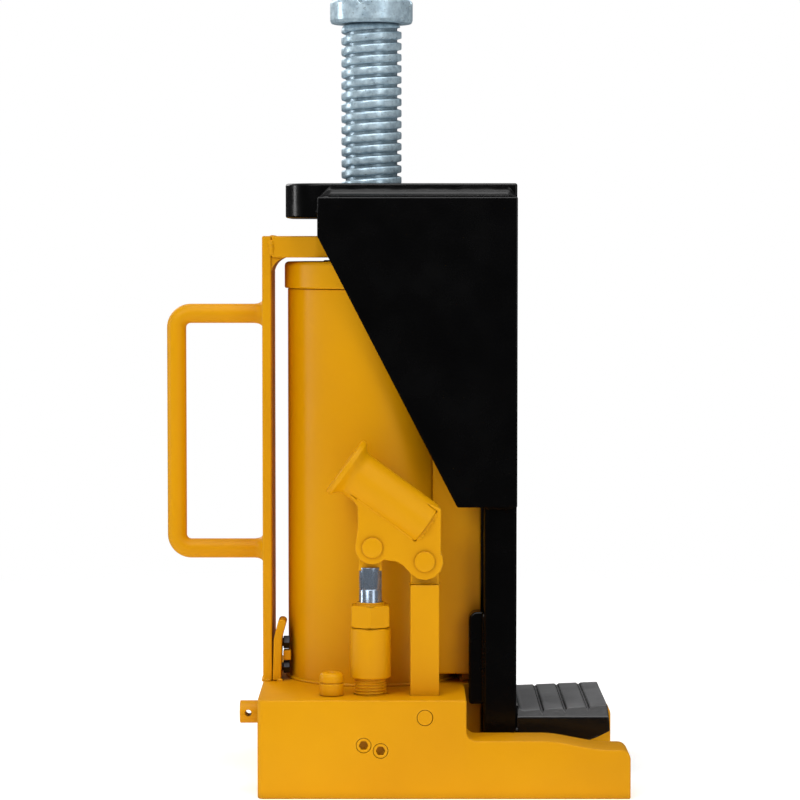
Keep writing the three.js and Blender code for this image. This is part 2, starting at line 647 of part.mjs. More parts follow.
function makeToe() {
  const root = back.front + gap;
  const side = new THREE.Shape();
  side.moveTo(root, toeUnder.root);
  side.lineTo(root, toe.rootTop + toe.fillet);
  side.absarc(root + toe.fillet, toe.rootTop + toe.fillet, toe.fillet, Math.PI, Math.PI * 1.5, false);
  const slope = (toe.tipTop - toe.rootTop) / (toe.topTip - root - toe.fillet);
  const topAt = (x) => toe.rootTop + slope * (x - root - toe.fillet);
  for (let i = 0; i < toeGroove.count; i += 1) {
    const middle = toeGroove.first + i * toeGroove.step;
    const [near, far] = [middle - toeGroove.halfWidth, middle + toeGroove.halfWidth];
    side.lineTo(near, topAt(near));
    side.lineTo(middle, topAt(middle) - toeGroove.depth);
    side.lineTo(far, topAt(far));
  }
  side.lineTo(toe.topTip, toe.tipTop);
  side.lineTo(toe.tip, toeUnder.nose);
  side.lineTo(toeUnder.heelX, toeUnder.heel);
  side.closePath();
  const flat = toe.halfWidth - toeBevel.across;
  const shoulder = toe.tipTop - toeBevel.down;
  const clear = toe.tipTop + 20;
  const front = outline([
    [-toe.halfWidth, 0], [toe.halfWidth, 0], [toe.halfWidth, shoulder], [flat, toe.tipTop],
    [flat, clear], [-flat, clear], [-flat, toe.tipTop], [-toe.halfWidth, shoulder],
  ]);
  return extrudeY(side, -toe.halfWidth, toe.halfWidth).intersect(extrudeX(front, root - 1, toe.tip + 1));
}

function addCarriage(group) {
  addPiece(group, 'ram', makeRam(), chromePlate);
  const ringAt = (from) => ring(pistonGroove.radius + gap, pressure.inner - gap,
    from + gap, from + pistonGroove.depth - gap, ramSides);
  addPiece(group, 'piston_seal', ringAt(ram.bottom + 7), sealRubber);
  addPiece(group, 'piston_ring', ringAt(ram.bottom + 19), bronze);
  addPiece(group, 'head_plate', makeHeadPlate(), blackPaint);
  addPiece(group, 'gusset_right', makeGusset(-1), blackPaint);
  addPiece(group, 'gusset_left', makeGusset(1), blackPaint);
  addPiece(group, 'back_bar', box(back.rear, back.front, -plate.halfWidth, plate.halfWidth,
    back.bottom, plate.bottom - gap), blackPaint);
  addPiece(group, 'guide_cheek_right', makeGuideCheek(-1), blackPaint);
  addPiece(group, 'guide_cheek_left', makeGuideCheek(1), blackPaint);
  addPiece(group, 'toe', makeToe(), blackPaint);
}

// ---------------------------------------------------------------- extension screw

function makeExtensionScrew() {
  const shank = rodZ(screw.radius, screw.bottom, screw.headBottom + 1, 0, 0, ramSides);
  const flatFace = screw.head - screw.chamfer;
  const head = turned([
    [0, screw.headBottom], [flatFace, screw.headBottom], [screw.head, screw.headBottom + screw.chamfer],
    [screw.head, screw.top - screw.chamfer], [flatFace, screw.top], [0, screw.top],
  ], ramSides);
  const vee = outline([
    [-screwSlot.half, screw.top + 0.1], [0, screw.top - screwSlot.depth], [screwSlot.half, screw.top + 0.1],
  ]);
  const reach = screw.head + 2;
  const slots = extrudeX(vee, -reach, reach).add(extrudeY(vee, -reach, reach)).rotate([0, 0, screwSlot.turn]);
  return shank.add(head)
    .subtract(slots)
    .subtract(rodZ(stop.bolt + gap, screw.bottom - 1, screw.bottom + stop.boltReach + 1, 0, 0, 16));
}

// The washer and bolt that keep the screw from being wound out of the ram.
function addScrew(group) {
  addPiece(group, 'extension_screw', makeExtensionScrew(), zincPlate);
  const washerTop = screw.bottom - gap;
  const washer = ring(stop.bolt + gap, stop.radius, washerTop - stop.thick, washerTop);
  addPiece(group, 'stop_washer', washer, plainSteel);
  const headTop = washerTop - stop.thick - gap;
  const bolt = rodZ(stop.bolt, headTop - 1, screw.bottom + stop.boltReach, 0, 0, 16)
    .add(extrudeZ(hexagon(stop.boltHead * 1.8), headTop - stop.boltHeadThick, headTop));
  addPiece(group, 'stop_bolt', bolt, darkSteel);
}

// ---------------------------------------------------------------- assembly

const jack = new THREE.Group();
addPiece(jack, 'base_block', makeBaseBlock(), yellowPaint);
addCylinder(jack);
addFrame(jack);
addBaseFittings(jack);
addPiece(jack, 'release_spindle', makeReleaseSpindle(), yellowPaint);
addPump(jack);
addPiece(jack, 'lever_post', makeLeverPost(), yellowPaint);
addLever(jack);
addCarriage(jack);
addScrew(jack);

export default jack;
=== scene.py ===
import bpy
import bmesh
import math
import random
from mathutils import Matrix, Vector


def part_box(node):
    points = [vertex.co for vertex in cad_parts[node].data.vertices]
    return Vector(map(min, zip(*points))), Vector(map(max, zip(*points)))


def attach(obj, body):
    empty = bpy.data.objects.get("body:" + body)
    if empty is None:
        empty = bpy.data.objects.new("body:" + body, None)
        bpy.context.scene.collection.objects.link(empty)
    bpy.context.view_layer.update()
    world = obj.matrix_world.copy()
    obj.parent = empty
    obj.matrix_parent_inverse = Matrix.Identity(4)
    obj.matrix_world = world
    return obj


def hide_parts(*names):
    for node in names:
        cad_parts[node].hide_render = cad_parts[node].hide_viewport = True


# Looks of the hydraulic toe jack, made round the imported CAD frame. Metres, +Z up.

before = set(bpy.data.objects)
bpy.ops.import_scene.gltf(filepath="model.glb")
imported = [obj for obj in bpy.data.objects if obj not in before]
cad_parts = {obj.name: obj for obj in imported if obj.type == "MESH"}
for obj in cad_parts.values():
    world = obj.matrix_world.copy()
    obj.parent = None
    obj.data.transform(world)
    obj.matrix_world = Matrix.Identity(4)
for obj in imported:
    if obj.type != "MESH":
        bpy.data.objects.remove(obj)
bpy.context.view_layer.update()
random.seed(38)
print("frame loaded:", len(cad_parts), "nodes")

mm = 0.001


studio = {
    "cameraPlace": (0.018, -1.843, 0.337),
    "cameraPitch": 3.165,          # degrees down
    "lens": 130.86,
    "floorColour": (0.93, 0.93, 0.92, 1),
    "floorSize": (14, 9),
    "floorMiddle": 3.3,
    "backdropColour": (1.0, 1.0, 1.0, 1),
    "roomLight": 0.34,             # on rough surfaces
    "wallShine": 0.05,             # what gloss sees low down, where the room is dark
    "ceilingShine": 0.85,          # and what it sees overhead
    "ceilingFrom": (0.52, 0.62),   # height of the dark walls' upper edge, as a sine
    "floorFade": (0.35, 1.1),      # where the lit floor gives way to a plain pale one
}

lamps = {
    "keyLamp": {"place": (-1.2, -1.9, 1.6), "size": (1.0, 1.0), "power": 18},
    "frontLamp": {"place": (1.4, -2.2, 1.0), "size": (0.9, 1.4), "power": 10},
    "topLamp": {"place": (0.1, -0.3, 2.2), "size": (1.4, 1.0), "power": 18},
    "rearLamp": {"place": (-1.2, 1.9, 1.3), "size": (1.2, 1.2), "power": 14},
    "sideLamp": {"place": (-2.2, 0.25, 0.55), "size": (0.30, 0.9), "power": 9, "glossOnly": True},
    "bandLamp": {"place": (0.5, -1.2, 2.0), "size": (2.2, 0.5), "power": 16, "glossOnly": True},
}


def buildStudio():
    scene = bpy.context.scene
    scene.view_settings.view_transform = "Standard"
    camera = bpy.data.objects.new("camera", bpy.data.cameras.new("camera"))
    camera.data.lens = studio["lens"]
    camera.data.clip_end = 60
    camera.location = studio["cameraPlace"]
    camera.rotation_euler = (math.radians(90 - studio["cameraPitch"]), 0, 0)
    scene.collection.objects.link(camera)
    scene.camera = camera

    for name, lamp in lamps.items():
        data = bpy.data.lights.new(name, "AREA")
        data.shape = "RECTANGLE"
        data.size, data.size_y = lamp["size"]
        data.energy = lamp["power"]
        light = bpy.data.objects.new(name, data)
        light.location = lamp["place"]
        light.visible_diffuse = not lamp.get("glossOnly")
        aim = Vector((0.02, 0, 0.2)) - Vector(lamp["place"])
        light.rotation_euler = aim.to_track_quat("-Z", "Y").to_euler()
        scene.collection.objects.link(light)

    # Seen directly the room is a plain pale backdrop. Gloss sees dark walls below a bright ceiling.
    world = bpy.data.worlds.new("room")
    scene.world = world
    world.use_nodes = True
    tree = world.node_tree
    tree.nodes.clear()
    out = tree.nodes.new("ShaderNodeOutputWorld")
    path = tree.nodes.new("ShaderNodeLightPath")
    place = tree.nodes.new("ShaderNodeTexCoord")
    split = tree.nodes.new("ShaderNodeSeparateXYZ")
    height = tree.nodes.new("ShaderNodeMapRange")
    height.inputs["From Min"].default_value, height.inputs["From Max"].default_value = studio["ceilingFrom"]
    height.inputs["To Min"].default_value = studio["wallShine"]
    height.inputs["To Max"].default_value = studio["ceilingShine"]
    tree.links.new(place.outputs["Generated"], split.inputs[0])
    tree.links.new(split.outputs["Z"], height.inputs["Value"])
    rough, gloss, seen = [tree.nodes.new("ShaderNodeBackground") for _ in range(3)]
    rough.inputs["Strength"].default_value = studio["roomLight"]
    seen.inputs["Color"].default_value = studio["backdropColour"]
    tree.links.new(height.outputs["Result"], gloss.inputs["Strength"])
    rough.inputs["Color"].default_value = gloss.inputs["Color"].default_value = (1, 1, 1, 1)
    first, second = [tree.nodes.new("ShaderNodeMixShader") for _ in range(2)]
    tree.links.new(path.outputs["Is Glossy Ray"], first.inputs[0])
    tree.links.new(rough.outputs[0], first.inputs[1])
    tree.links.new(gloss.outputs[0], first.inputs[2])
    tree.links.new(path.outputs["Is Camera Ray"], second.inputs[0])
    tree.links.new(first.outputs[0], second.inputs[1])
    tree.links.new(seen.outputs[0], second.inputs[2])
    tree.links.new(second.outputs[0], out.inputs[0])

    bpy.ops.mesh.primitive_plane_add(size=1, location=(0, studio["floorMiddle"], 0))
    floor = bpy.context.object
    floor.name = "floor"
    floor.visible_glossy = False
    floor.scale = (*studio["floorSize"], 1)
    floorPaint = bpy.data.materials.new("floorPaint")
    floorPaint.use_nodes = True
    nodes, links = floorPaint.node_tree.nodes, floorPaint.node_tree.links
    shader = nodes["Principled BSDF"]
    shader.inputs["Base Color"].default_value = studio["floorColour"]
    shader.inputs["Roughness"].default_value = 0.9
    shader.inputs["Specular IOR Level"].default_value = 0.05
    shader.inputs["Emission Color"].default_value = (1, 1, 1, 1)
    shader.inputs["Emission Strength"].default_value = 0.42
    plain = nodes.new("ShaderNodeEmission")
    geometry = nodes.new("ShaderNodeNewGeometry")
    distance = nodes.new("ShaderNodeVectorMath")
    distance.operation = "LENGTH"
    fade = nodes.new("ShaderNodeMapRange")
    fade.interpolation_type = "SMOOTHSTEP"
    fade.inputs["From Min"].default_value, fade.inputs["From Max"].default_value = studio["floorFade"]
    mix = nodes.new("ShaderNodeMixShader")
    links.new(geometry.outputs["Position"], distance.inputs[0])
    links.new(distance.outputs["Value"], fade.inputs["Value"])
    links.new(fade.outputs["Result"], mix.inputs[0])
    links.new(shader.outputs[0], mix.inputs[1])
    links.new(plain.outputs[0], mix.inputs[2])
    links.new(mix.outputs[0], nodes["Material Output"].inputs["Surface"])
    floor.data.materials.append(floorPaint)


class Finish:
    # Builds one procedural material, node by node.

    def __init__(self, name):
        self.material = bpy.data.materials.new(name)
        self.material.use_nodes = True
        self.tree = self.material.node_tree
        self.shader = self.tree.nodes["Principled BSDF"]
        self.place = self.add("ShaderNodeTexCoord").outputs["Object"]

    def add(self, kind, **settings):
        node = self.tree.nodes.new(kind)
        for key, value in settings.items():
            setattr(node, key, value)
        return node

    def plug(self, source, target):
        self.tree.links.new(source, target)

    def fix(self, **sockets):
        for key, value in sockets.items():
            self.shader.inputs[key.replace("_", " ")].default_value = value

    def noise(self, scale, detail=3.0, rough=0.5, stretch=None):
        node = self.add("ShaderNodeTexNoise")
        node.inputs["Scale"].default_value = scale
        node.inputs["Detail"].default_value = detail
        node.inputs["Roughness"].default_value = rough
        place = self.place
        if stretch:
            mapping = self.add("ShaderNodeMapping")
            mapping.inputs["Scale"].default_value = stretch
            self.plug(self.place, mapping.inputs["Vector"])
            place = mapping.outputs["Vector"]
        self.plug(place, node.inputs["Vector"])
        return node.outputs["Fac"]

    def ramp(self, source, low, high, fromValue=0.0, toValue=1.0):
        node = self.add("ShaderNodeMapRange")
        node.inputs["From Min"].default_value = low
        node.inputs["From Max"].default_value = high
        node.inputs["To Min"].default_value = fromValue
        node.inputs["To Max"].default_value = toValue
        self.plug(source, node.inputs["Value"])
        return node.outputs["Result"]

    def sum(self, first, second, how="MULTIPLY"):
        node = self.add("ShaderNodeMath", operation=how)
        self.plug(first, node.inputs[0])
        if isinstance(second, (int, float)):
            node.inputs[1].default_value = second
        else:
            self.plug(second, node.inputs[1])
        return node.outputs[0]

    def blend(self, amount, first, second, how="MIX"):
        node = self.add("ShaderNodeMix", data_type="RGBA", blend_type=how)
        self.plug(amount, node.inputs[0])
        for socket, value in ((node.inputs[6], first), (node.inputs[7], second)):
            if isinstance(value, tuple):
                socket.default_value = (*value, 1)
            else:
                self.plug(value, socket)
        return node.outputs[2]

    def bump(self, height, depth, strength=1.0, under=None):
        node = self.add("ShaderNodeBump")
        node.inputs["Strength"].default_value = strength
        node.inputs["Distance"].default_value = depth
        self.plug(height, node.inputs["Height"])
        if under:
            self.plug(under, node.inputs["Normal"])
        return node.outputs["Normal"]

    def edges(self, radius):
        # 1 on outer edges, 0 on flat faces.
        bevel = self.add("ShaderNodeBevel", samples=6)
        bevel.inputs["Radius"].default_value = radius
        flat = self.add("ShaderNodeNewGeometry")
        dot = self.add("ShaderNodeVectorMath", operation="DOT_PRODUCT")
        self.plug(bevel.outputs["Normal"], dot.inputs[0])
        self.plug(flat.outputs["Normal"], dot.inputs[1])
        turned = self.ramp(dot.outputs["Value"], 0.995, 0.9)
        return turned

    def corners(self, distance):
        # 0 in tight inner corners, 1 in the open. The finishes use it to paint shade into corners and
        # hollows.
        node = self.add("ShaderNodeAmbientOcclusion", samples=6)
        node.inputs["Distance"].default_value = distance
        return node.outputs["AO"]


def enamel(name, look):
    finish = Finish(name)
    broad = finish.noise(9, 3)
    speck = finish.noise(420, 2)
    tint = finish.blend(finish.ramp(broad, 0.35, 0.7), look["colour"], look["shade"])
    # Darker in corners and between parts, by ambient occlusion: painted shade, mixed with dirt.
    tint = finish.blend(
        finish.ramp(finish.corners(look["grimeAndShadeReach"]), 0.35, 0.85, look["grimeAndShade"], 0.0), tint, look["dirtAndShade"])
    # Lighter on outer edges, broken up by noise: a painted highlight, mixed with wear.
    edge = finish.sum(finish.edges(look["edge"]), finish.ramp(finish.noise(160, 4), 0.42, 0.6))
    tint = finish.blend(finish.sum(edge, look["edgeSheenAndWear"]), tint, look["sheenAndWear"])
    finish.plug(tint, finish.shader.inputs["Base Color"])
    rough = finish.ramp(finish.noise(36, 4), 0.3, 0.7, look["roughness"] - 0.05, look["roughness"] + 0.07)
    finish.plug(rough, finish.shader.inputs["Roughness"])
    peel = finish.bump(finish.noise(look["peel"], 2, 0.4), look["peelDepth"] * mm)
    wave = finish.bump(finish.noise(look["wave"], 2), look["waveDepth"] * mm, 1.0, peel)
    dust = finish.bump(speck, 0.012 * mm, 0.5, wave)
    finish.plug(dust, finish.shader.inputs["Normal"])
    finish.fix(Specular_IOR_Level=look["specular"], Coat_Weight=look["coat"], Coat_Roughness=0.12)
    return finish.material


yellowLook = {
    # The corner colour and its amount: painted shade in corners and between parts, mixed with dirt.
    "colour": (0.77, 0.352, 0.0004), "shade": (0.70, 0.305, 0.0003), "dirtAndShade": (0.20, 0.075, 0.002),
    # The edge colour and its amount: a painted highlight along outer edges, mixed with wear.
    "sheenAndWear": (0.95, 0.60, 0.06), "grimeAndShade": 0.38, "grimeAndShadeReach": 7 * mm, "edge": 1.1 * mm, "edgeSheenAndWear": 0.22,
    "roughness": 0.36, "peel": 330, "peelDepth": 0.05, "wave": 45, "waveDepth": 0.25,
    "specular": 0.13, "coat": 0.0,
}
castLook = {**yellowLook, "peel": 210, "peelDepth": 0.10, "wave": 30, "waveDepth": 0.5, "roughness": 0.40}
blackLook = {
    "colour": (0.0008, 0.0008, 0.0009), "shade": (0.0014, 0.0014, 0.0016), "dirtAndShade": (0.0008, 0.0008, 0.0008),
    # The edge colour and its amount: a painted highlight along outer edges, mixed with wear.
    "sheenAndWear": (0.035, 0.035, 0.038), "grimeAndShade": 0.2, "grimeAndShadeReach": 5 * mm, "edge": 1.0 * mm, "edgeSheenAndWear": 0.30,
    "roughness": 0.24, "peel": 260, "peelDepth": 0.05, "wave": 22, "waveDepth": 0.5,
    "specular": 0.22, "coat": 0.0,
}


def scuffedToplitBlack(name):
    # The toe's grip pad: black enamel scuffed through to grey steel at its edges, and grey on faces turned
    # upward, a painted top light broken up by scuffs.
    finish = Finish(name)
    normal = finish.add("ShaderNodeNewGeometry").outputs["Normal"]
    split = finish.add("ShaderNodeSeparateXYZ")
    finish.plug(normal, split.inputs[0])
    # Faces turned upward are painted grey, and sloping faces a little: painted light from above, broken up by
    # scuff noise.
    facingUp = finish.ramp(split.outputs["Z"], 0.80, 0.98)
    sloping = finish.ramp(split.outputs["Z"], 0.45, 0.75, 0.0, 0.16)
    scuffs = finish.ramp(finish.noise(60, 6, 0.65), 0.30, 0.62, 0.72, 1.0)
    drag = finish.ramp(finish.noise(30, 5, 0.6, (1.0, 9.0, 1.0)), 0.35, 0.75, 0.75, 1.0)
    top = finish.sum(facingUp, finish.sum(scuffs, drag))
    chips = finish.sum(finish.edges(1.6 * mm), finish.ramp(finish.noise(110, 5, 0.7), 0.46, 0.58))
    side = finish.sum(sloping, finish.ramp(finish.noise(75, 5, 0.7, (1.0, 1.0, 4.0)), 0.40, 0.66))
    amount = finish.sum(finish.sum(top, side, "MAXIMUM"), finish.sum(chips, 0.55), "MAXIMUM")
    tint = finish.blend(amount, (0.004, 0.004, 0.0045), (0.20, 0.20, 0.205))
    finish.plug(tint, finish.shader.inputs["Base Color"])
    finish.plug(finish.ramp(amount, 0, 1, 0.22, 0.5), finish.shader.inputs["Roughness"])
    coarse = finish.bump(finish.noise(140, 5, 0.6), 0.25 * mm)
    fine = finish.bump(finish.noise(700, 3), 0.04 * mm, 0.6, coarse)
    finish.plug(fine, finish.shader.inputs["Normal"])
    finish.fix(Specular_IOR_Level=0.35)
    return finish.material


def bareMetal(name, look):
    finish = Finish(name)
    grain = finish.noise(look["grain"], 4, 0.6, look["stretch"])
    cloud = finish.noise(look["cloud"], 5, 0.62)
    tint = finish.blend(finish.ramp(cloud, 0.36, 0.66), look["colour"], look["shade"])
    pits = finish.ramp(finish.noise(look["pit"], 3, 0.7), 0.60, 0.72, 0.0, look["pitting"])
    tint = finish.blend(pits, tint, look["stainAndShade"])
    # Darker in hollows such as thread roots, by ambient occlusion: painted shade, mixed with grime. The same
    # dark colour also marks real pits.
    hollows = finish.ramp(finish.corners(2.2 * mm), 0.25, 0.9, look["grimeAndShade"], 0.0)
    tint = finish.blend(hollows, tint, look["stainAndShade"])
    finish.plug(tint, finish.shader.inputs["Base Color"])
    spread = look["spread"]
    rough = finish.ramp(grain, 0.3, 0.7, look["roughness"] - spread, look["roughness"] + spread)
    finish.plug(rough, finish.shader.inputs["Roughness"])
    finish.plug(finish.bump(grain, look["depth"] * mm), finish.shader.inputs["Normal"])
    finish.fix(Metallic=look.get("metallic", 1.0))
    return finish.material


zincLook = {
    "colour": (0.66, 0.83, 0.93), "shade": (0.38, 0.52, 0.62), "stainAndShade": (0.08, 0.13, 0.17), "grain": 260,
    "stretch": (0.35, 0.35, 3), "cloud": 240, "pit": 420, "pitting": 0.7, "grimeAndShade": 1.0,
    "roughness": 0.34, "spread": 0.08, "depth": 0.03, "metallic": 0.42,
}
chromeLook = {
    "colour": (0.38, 0.46, 0.57), "shade": (0.30, 0.38, 0.49), "stainAndShade": (0.16, 0.19, 0.23), "grain": 500,
    "stretch": (6, 6, 0.6), "cloud": 40, "pit": 300, "pitting": 0.06, "grimeAndShade": 0.4,
    "roughness": 0.24, "spread": 0.06, "depth": 0.006, "metallic": 0.75,
}
steelLook = {
    "colour": (0.50, 0.51, 0.53), "shade": (0.36, 0.37, 0.39), "stainAndShade": (0.10, 0.09, 0.08), "grain": 400,
    "stretch": (1, 1, 8), "cloud": 60, "pit": 240, "pitting": 0.3, "grimeAndShade": 0.5,
    "roughness": 0.35, "spread": 0.08, "depth": 0.02,
}
darkLook = {**steelLook, "colour": (0.055, 0.055, 0.06), "shade": (0.03, 0.03, 0.033), "roughness": 0.42}
bronzeLook = {**steelLook, "colour": (0.62, 0.40, 0.15), "shade": (0.48, 0.29, 0.10), "roughness": 0.32}


def sealRubber(name):
    finish = Finish(name)
    tint = finish.blend(finish.ramp(finish.noise(80, 4), 0.3, 0.7), (0.012, 0.012, 0.012), (0.03, 0.03, 0.03))
    finish.plug(tint, finish.shader.inputs["Base Color"])
    finish.plug(finish.ramp(finish.noise(200, 3), 0.3, 0.7, 0.5, 0.7), finish.shader.inputs["Roughness"])
    finish.plug(finish.bump(finish.noise(500, 3), 0.02 * mm), finish.shader.inputs["Normal"])
    return finish.material


finishes = {
    "tubeYellow": (enamel("tubeYellow", yellowLook), "yellow_paint"),
    "castYellow": (enamel("castYellow", castLook), "yellow_paint"),
    "glossBlack": (enamel("glossBlack", blackLook), "black_paint"),
    "toeBlack": (scuffedToplitBlack("toeBlack"), "black_paint"),
    "zinc": (bareMetal("zinc", zincLook), "zinc_plate"),
    "chrome": (bareMetal("chrome", chromeLook), "chrome_plate"),
    "steel": (bareMetal("steel", steelLook), "plain_steel"),
    "darkSteel": (bareMetal("darkSteel", darkLook), "dark_steel"),
    "bronze": (bareMetal("bronze", bronzeLook), "bronze"),
    "rubber": (sealRubber("rubber"), "seal_rubber"),
}
print("finishes made:", len(finishes))


def finishPiece(mesh, name, finishName, body, replaced=(), round=0.0, angle=35):
    # Turns a bmesh into a piece that rides on a body and may stand for CAD nodes.
    bmesh.ops.remove_doubles(mesh, verts=mesh.verts, dist=1e-6)
    bmesh.ops.recalc_face_normals(mesh, faces=mesh.faces)
    data = bpy.data.meshes.new(name)
    mesh.to_mesh(data)
    mesh.free()
    piece = bpy.data.objects.new(name, data)
    bpy.context.scene.collection.objects.link(piece)
    material, slotName = finishes[finishName]
    data.materials.append(material)
    data.shade_smooth()
    data.set_sharp_from_angle(angle=math.radians(angle))
    if round:
        addRounding(piece, round, angle)
    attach(piece, body)
    if replaced:
        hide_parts(*replaced)
    return piece


def addRounding(piece, width, angle=35, segments=3):
    bevel = piece.modifiers.new("roundedEdges", "BEVEL")
    bevel.width = width
    bevel.segments = segments
    bevel.limit_method = "ANGLE"
    bevel.angle_limit = math.radians(angle)
    bevel.use_clamp_overlap = False
    bevel.harden_normals = True
    weighted = piece.modifiers.new("cleanShading", "WEIGHTED_NORMAL")
    weighted.keep_sharp = True


def dressNode(name, finishName, round=0.0):
    # A CAD node keeps its shape and gets rounded edges and a finish.
    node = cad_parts[name]
    material, slotName = finishes[finishName]
    data = node.data
    data.materials.clear()
    data.materials.append(material)
    if "custom_normal" in data.attributes:
        data.attributes.remove(data.attributes["custom_normal"])
    data.shade_smooth()
    weld = node.modifiers.new("joined", "WELD")
    weld.merge_threshold = 1e-5
    flat = node.modifiers.new("flatFaces", "DECIMATE")
    flat.decimate_type = "DISSOLVE"
    flat.angle_limit = math.radians(1)
    smooth = node.modifiers.new("roundedEdges", "BEVEL")
    smooth.width = round or 0.2 * mm
    smooth.segments = 3 if round else 1
    smooth.limit_method = "ANGLE"
    smooth.angle_limit = math.radians(33)
    smooth.use_clamp_overlap = False
    smooth.harden_normals = True
    weighted = node.modifiers.new("cleanShading", "WEIGHTED_NORMAL")
    weighted.keep_sharp = True


def lathe(profile, sides=96, turn=None):
    # A turned solid about Z from (radius, height) pairs that start and end on the axis or close.
    mesh = bmesh.new()
    rings = []
    for radius, height in profile:
        if radius < 1e-7:
            rings.append([mesh.verts.new((0, 0, height))])
        else:
            rings.append([mesh.verts.new((radius * math.cos(2 * math.pi * i / sides),
                                          radius * math.sin(2 * math.pi * i / sides), height))
                          for i in range(sides)])
    for lower, upper in zip(rings, rings[1:]):
        for i in range(sides):
            j = (i + 1) % sides
            corners = [lower[i % len(lower)], lower[j % len(lower)],
                       upper[j % len(upper)], upper[i % len(upper)]]
            kept = [v for n, v in enumerate(corners) if v not in corners[:n]]
            if len(kept) > 2:
                mesh.faces.new(kept)
    if turn is not None:
        bmesh.ops.transform(mesh, matrix=turn, verts=mesh.verts)
    return mesh


def rounded(corners, steps=6):
    # Outline or profile points, with each (x, y, radius) corner as an arc.
    points = []
    count = len(corners)
    for n, corner in enumerate(corners):
        here = Vector(corner[:2])
        radius = corner[2] if len(corner) > 2 else 0
        if not radius:
            points.append(tuple(here))
            continue
        inward = (Vector(corners[n - 1][:2]) - here).normalized()
        onward = (Vector(corners[(n + 1) % count][:2]) - here).normalized()
        half = math.acos(max(-1, min(1, inward.dot(onward)))) / 2
        centre = here + (inward + onward).normalized() * (radius / math.sin(half))
        start = here + inward * (radius / math.tan(half)) - centre
        end = here + onward * (radius / math.tan(half)) - centre
        sweep = start.angle_signed(end)
        first = math.atan2(start.y, start.x)
        for i in range(steps + 1):
            a = first - sweep * i / steps
            points.append((centre.x + radius * math.cos(a), centre.y + radius * math.sin(a)))
    return points


def slab(points, low, high, plane="XZ"):
    # An outline in a plane, made solid between two places on the third axis.
    mesh = bmesh.new()
    def at(p, t):
        return {"XZ": (p[0], t, p[1]), "XY": (p[0], p[1], t), "YZ": (t, p[0], p[1])}[plane]
    bottom = [mesh.verts.new(at(p, low)) for p in points]
    top = [mesh.verts.new(at(p, high)) for p in points]
    mesh.faces.new(bottom)
    mesh.faces.new(list(reversed(top)))
    for i in range(len(points)):
        j = (i + 1) % len(points)
        mesh.faces.new([bottom[i], bottom[j], top[j], top[i]])
    return mesh


def sweep(points, section, closed=False, scaleAt=None):
    # A section of (side, up) points carried along a path, with flat ends.
    mesh = bmesh.new()
    rings = []
    up = Vector((0, 1, 0))
    count = len(points)
    for n, point in enumerate(points):
        ahead = points[(n + 1) % count] if closed else points[min(n + 1, count - 1)]
        behind = points[n - 1] if closed else points[max(n - 1, 0)]
        along = (Vector(ahead) - Vector(behind)).normalized()
        side = up.cross(along)
        if side.length < 0.2:
            side = Vector((1, 0, 0)).cross(along)
        side.normalize()
        over = along.cross(side).normalized()
        scale = scaleAt(n) if scaleAt else 1
        rings.append([mesh.verts.new(Vector(point) + side * (a * scale) + over * (b * scale))
                      for a, b in section])
    pairs = zip(rings, rings[1:] + rings[:1]) if closed else zip(rings, rings[1:])
    for one, two in pairs:
        for i in range(len(section)):
            j = (i + 1) % len(section)
            mesh.faces.new([one[i], one[j], two[j], two[i]])
    if not closed:
        mesh.faces.new(list(reversed(rings[0])))
        mesh.faces.new(rings[-1])
    return mesh


def circle(radius, sides):
    return [(radius * math.cos(2 * math.pi * i / sides), radius * math.sin(2 * math.pi * i / sides))
            for i in range(sides)]


weld = {"ripple": 2.4 * mm, "stepsPerRipple": 6, "sides": 12, "depth": 0.13, "wander": 0.10}


def weldBead(name, route, radius, finishName, body, closed=False, ripple=None):
    # A bead of overlapping ripples along a route of points.
    ripple = ripple or weld["ripple"]
    spacing = ripple / weld["stepsPerRipple"]
    corners = [Vector(p) for p in route]
    legs = list(zip(corners, corners[1:] + corners[:1])) if closed else list(zip(corners, corners[1:]))
    points = []
    for start, end in legs:
        steps = max(1, round((end - start).length / spacing))
        points += [start.lerp(end, i / steps) for i in range(steps)]
    if not closed:
        points.append(corners[-1])
    swell = [random.uniform(-1, 1) for _ in range(len(points) // weld["stepsPerRipple"] + 2)]
    last = len(points) - 1

    def scaleAt(n):
        within = (n % weld["stepsPerRipple"]) / weld["stepsPerRipple"]
        crest = 1 - weld["depth"] * within ** 1.5
        width = crest * (1 + weld["wander"] * swell[n // weld["stepsPerRipple"]])
        if closed:
            return width
        fromEnd = min(n, last - n) * spacing
        return width * min(1, 0.45 + 0.55 * math.sqrt(min(1, fromEnd / radius)))
    mesh = sweep(points, circle(radius, weld["sides"]), closed, scaleAt)
    return finishPiece(mesh, name, finishName, body, angle=60)


def box(name):
    low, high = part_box(name)
    return Vector(low), Vector(high)


def ringRoute(centre, radius, steps=120, start=0.0, sweepAngle=360.0):
    return [(centre[0] + radius * math.cos(math.radians(start + sweepAngle * i / steps)),
             centre[1] + radius * math.sin(math.radians(start + sweepAngle * i / steps)), centre[2])
            for i in range(steps + (0 if sweepAngle == 360 else 1))]


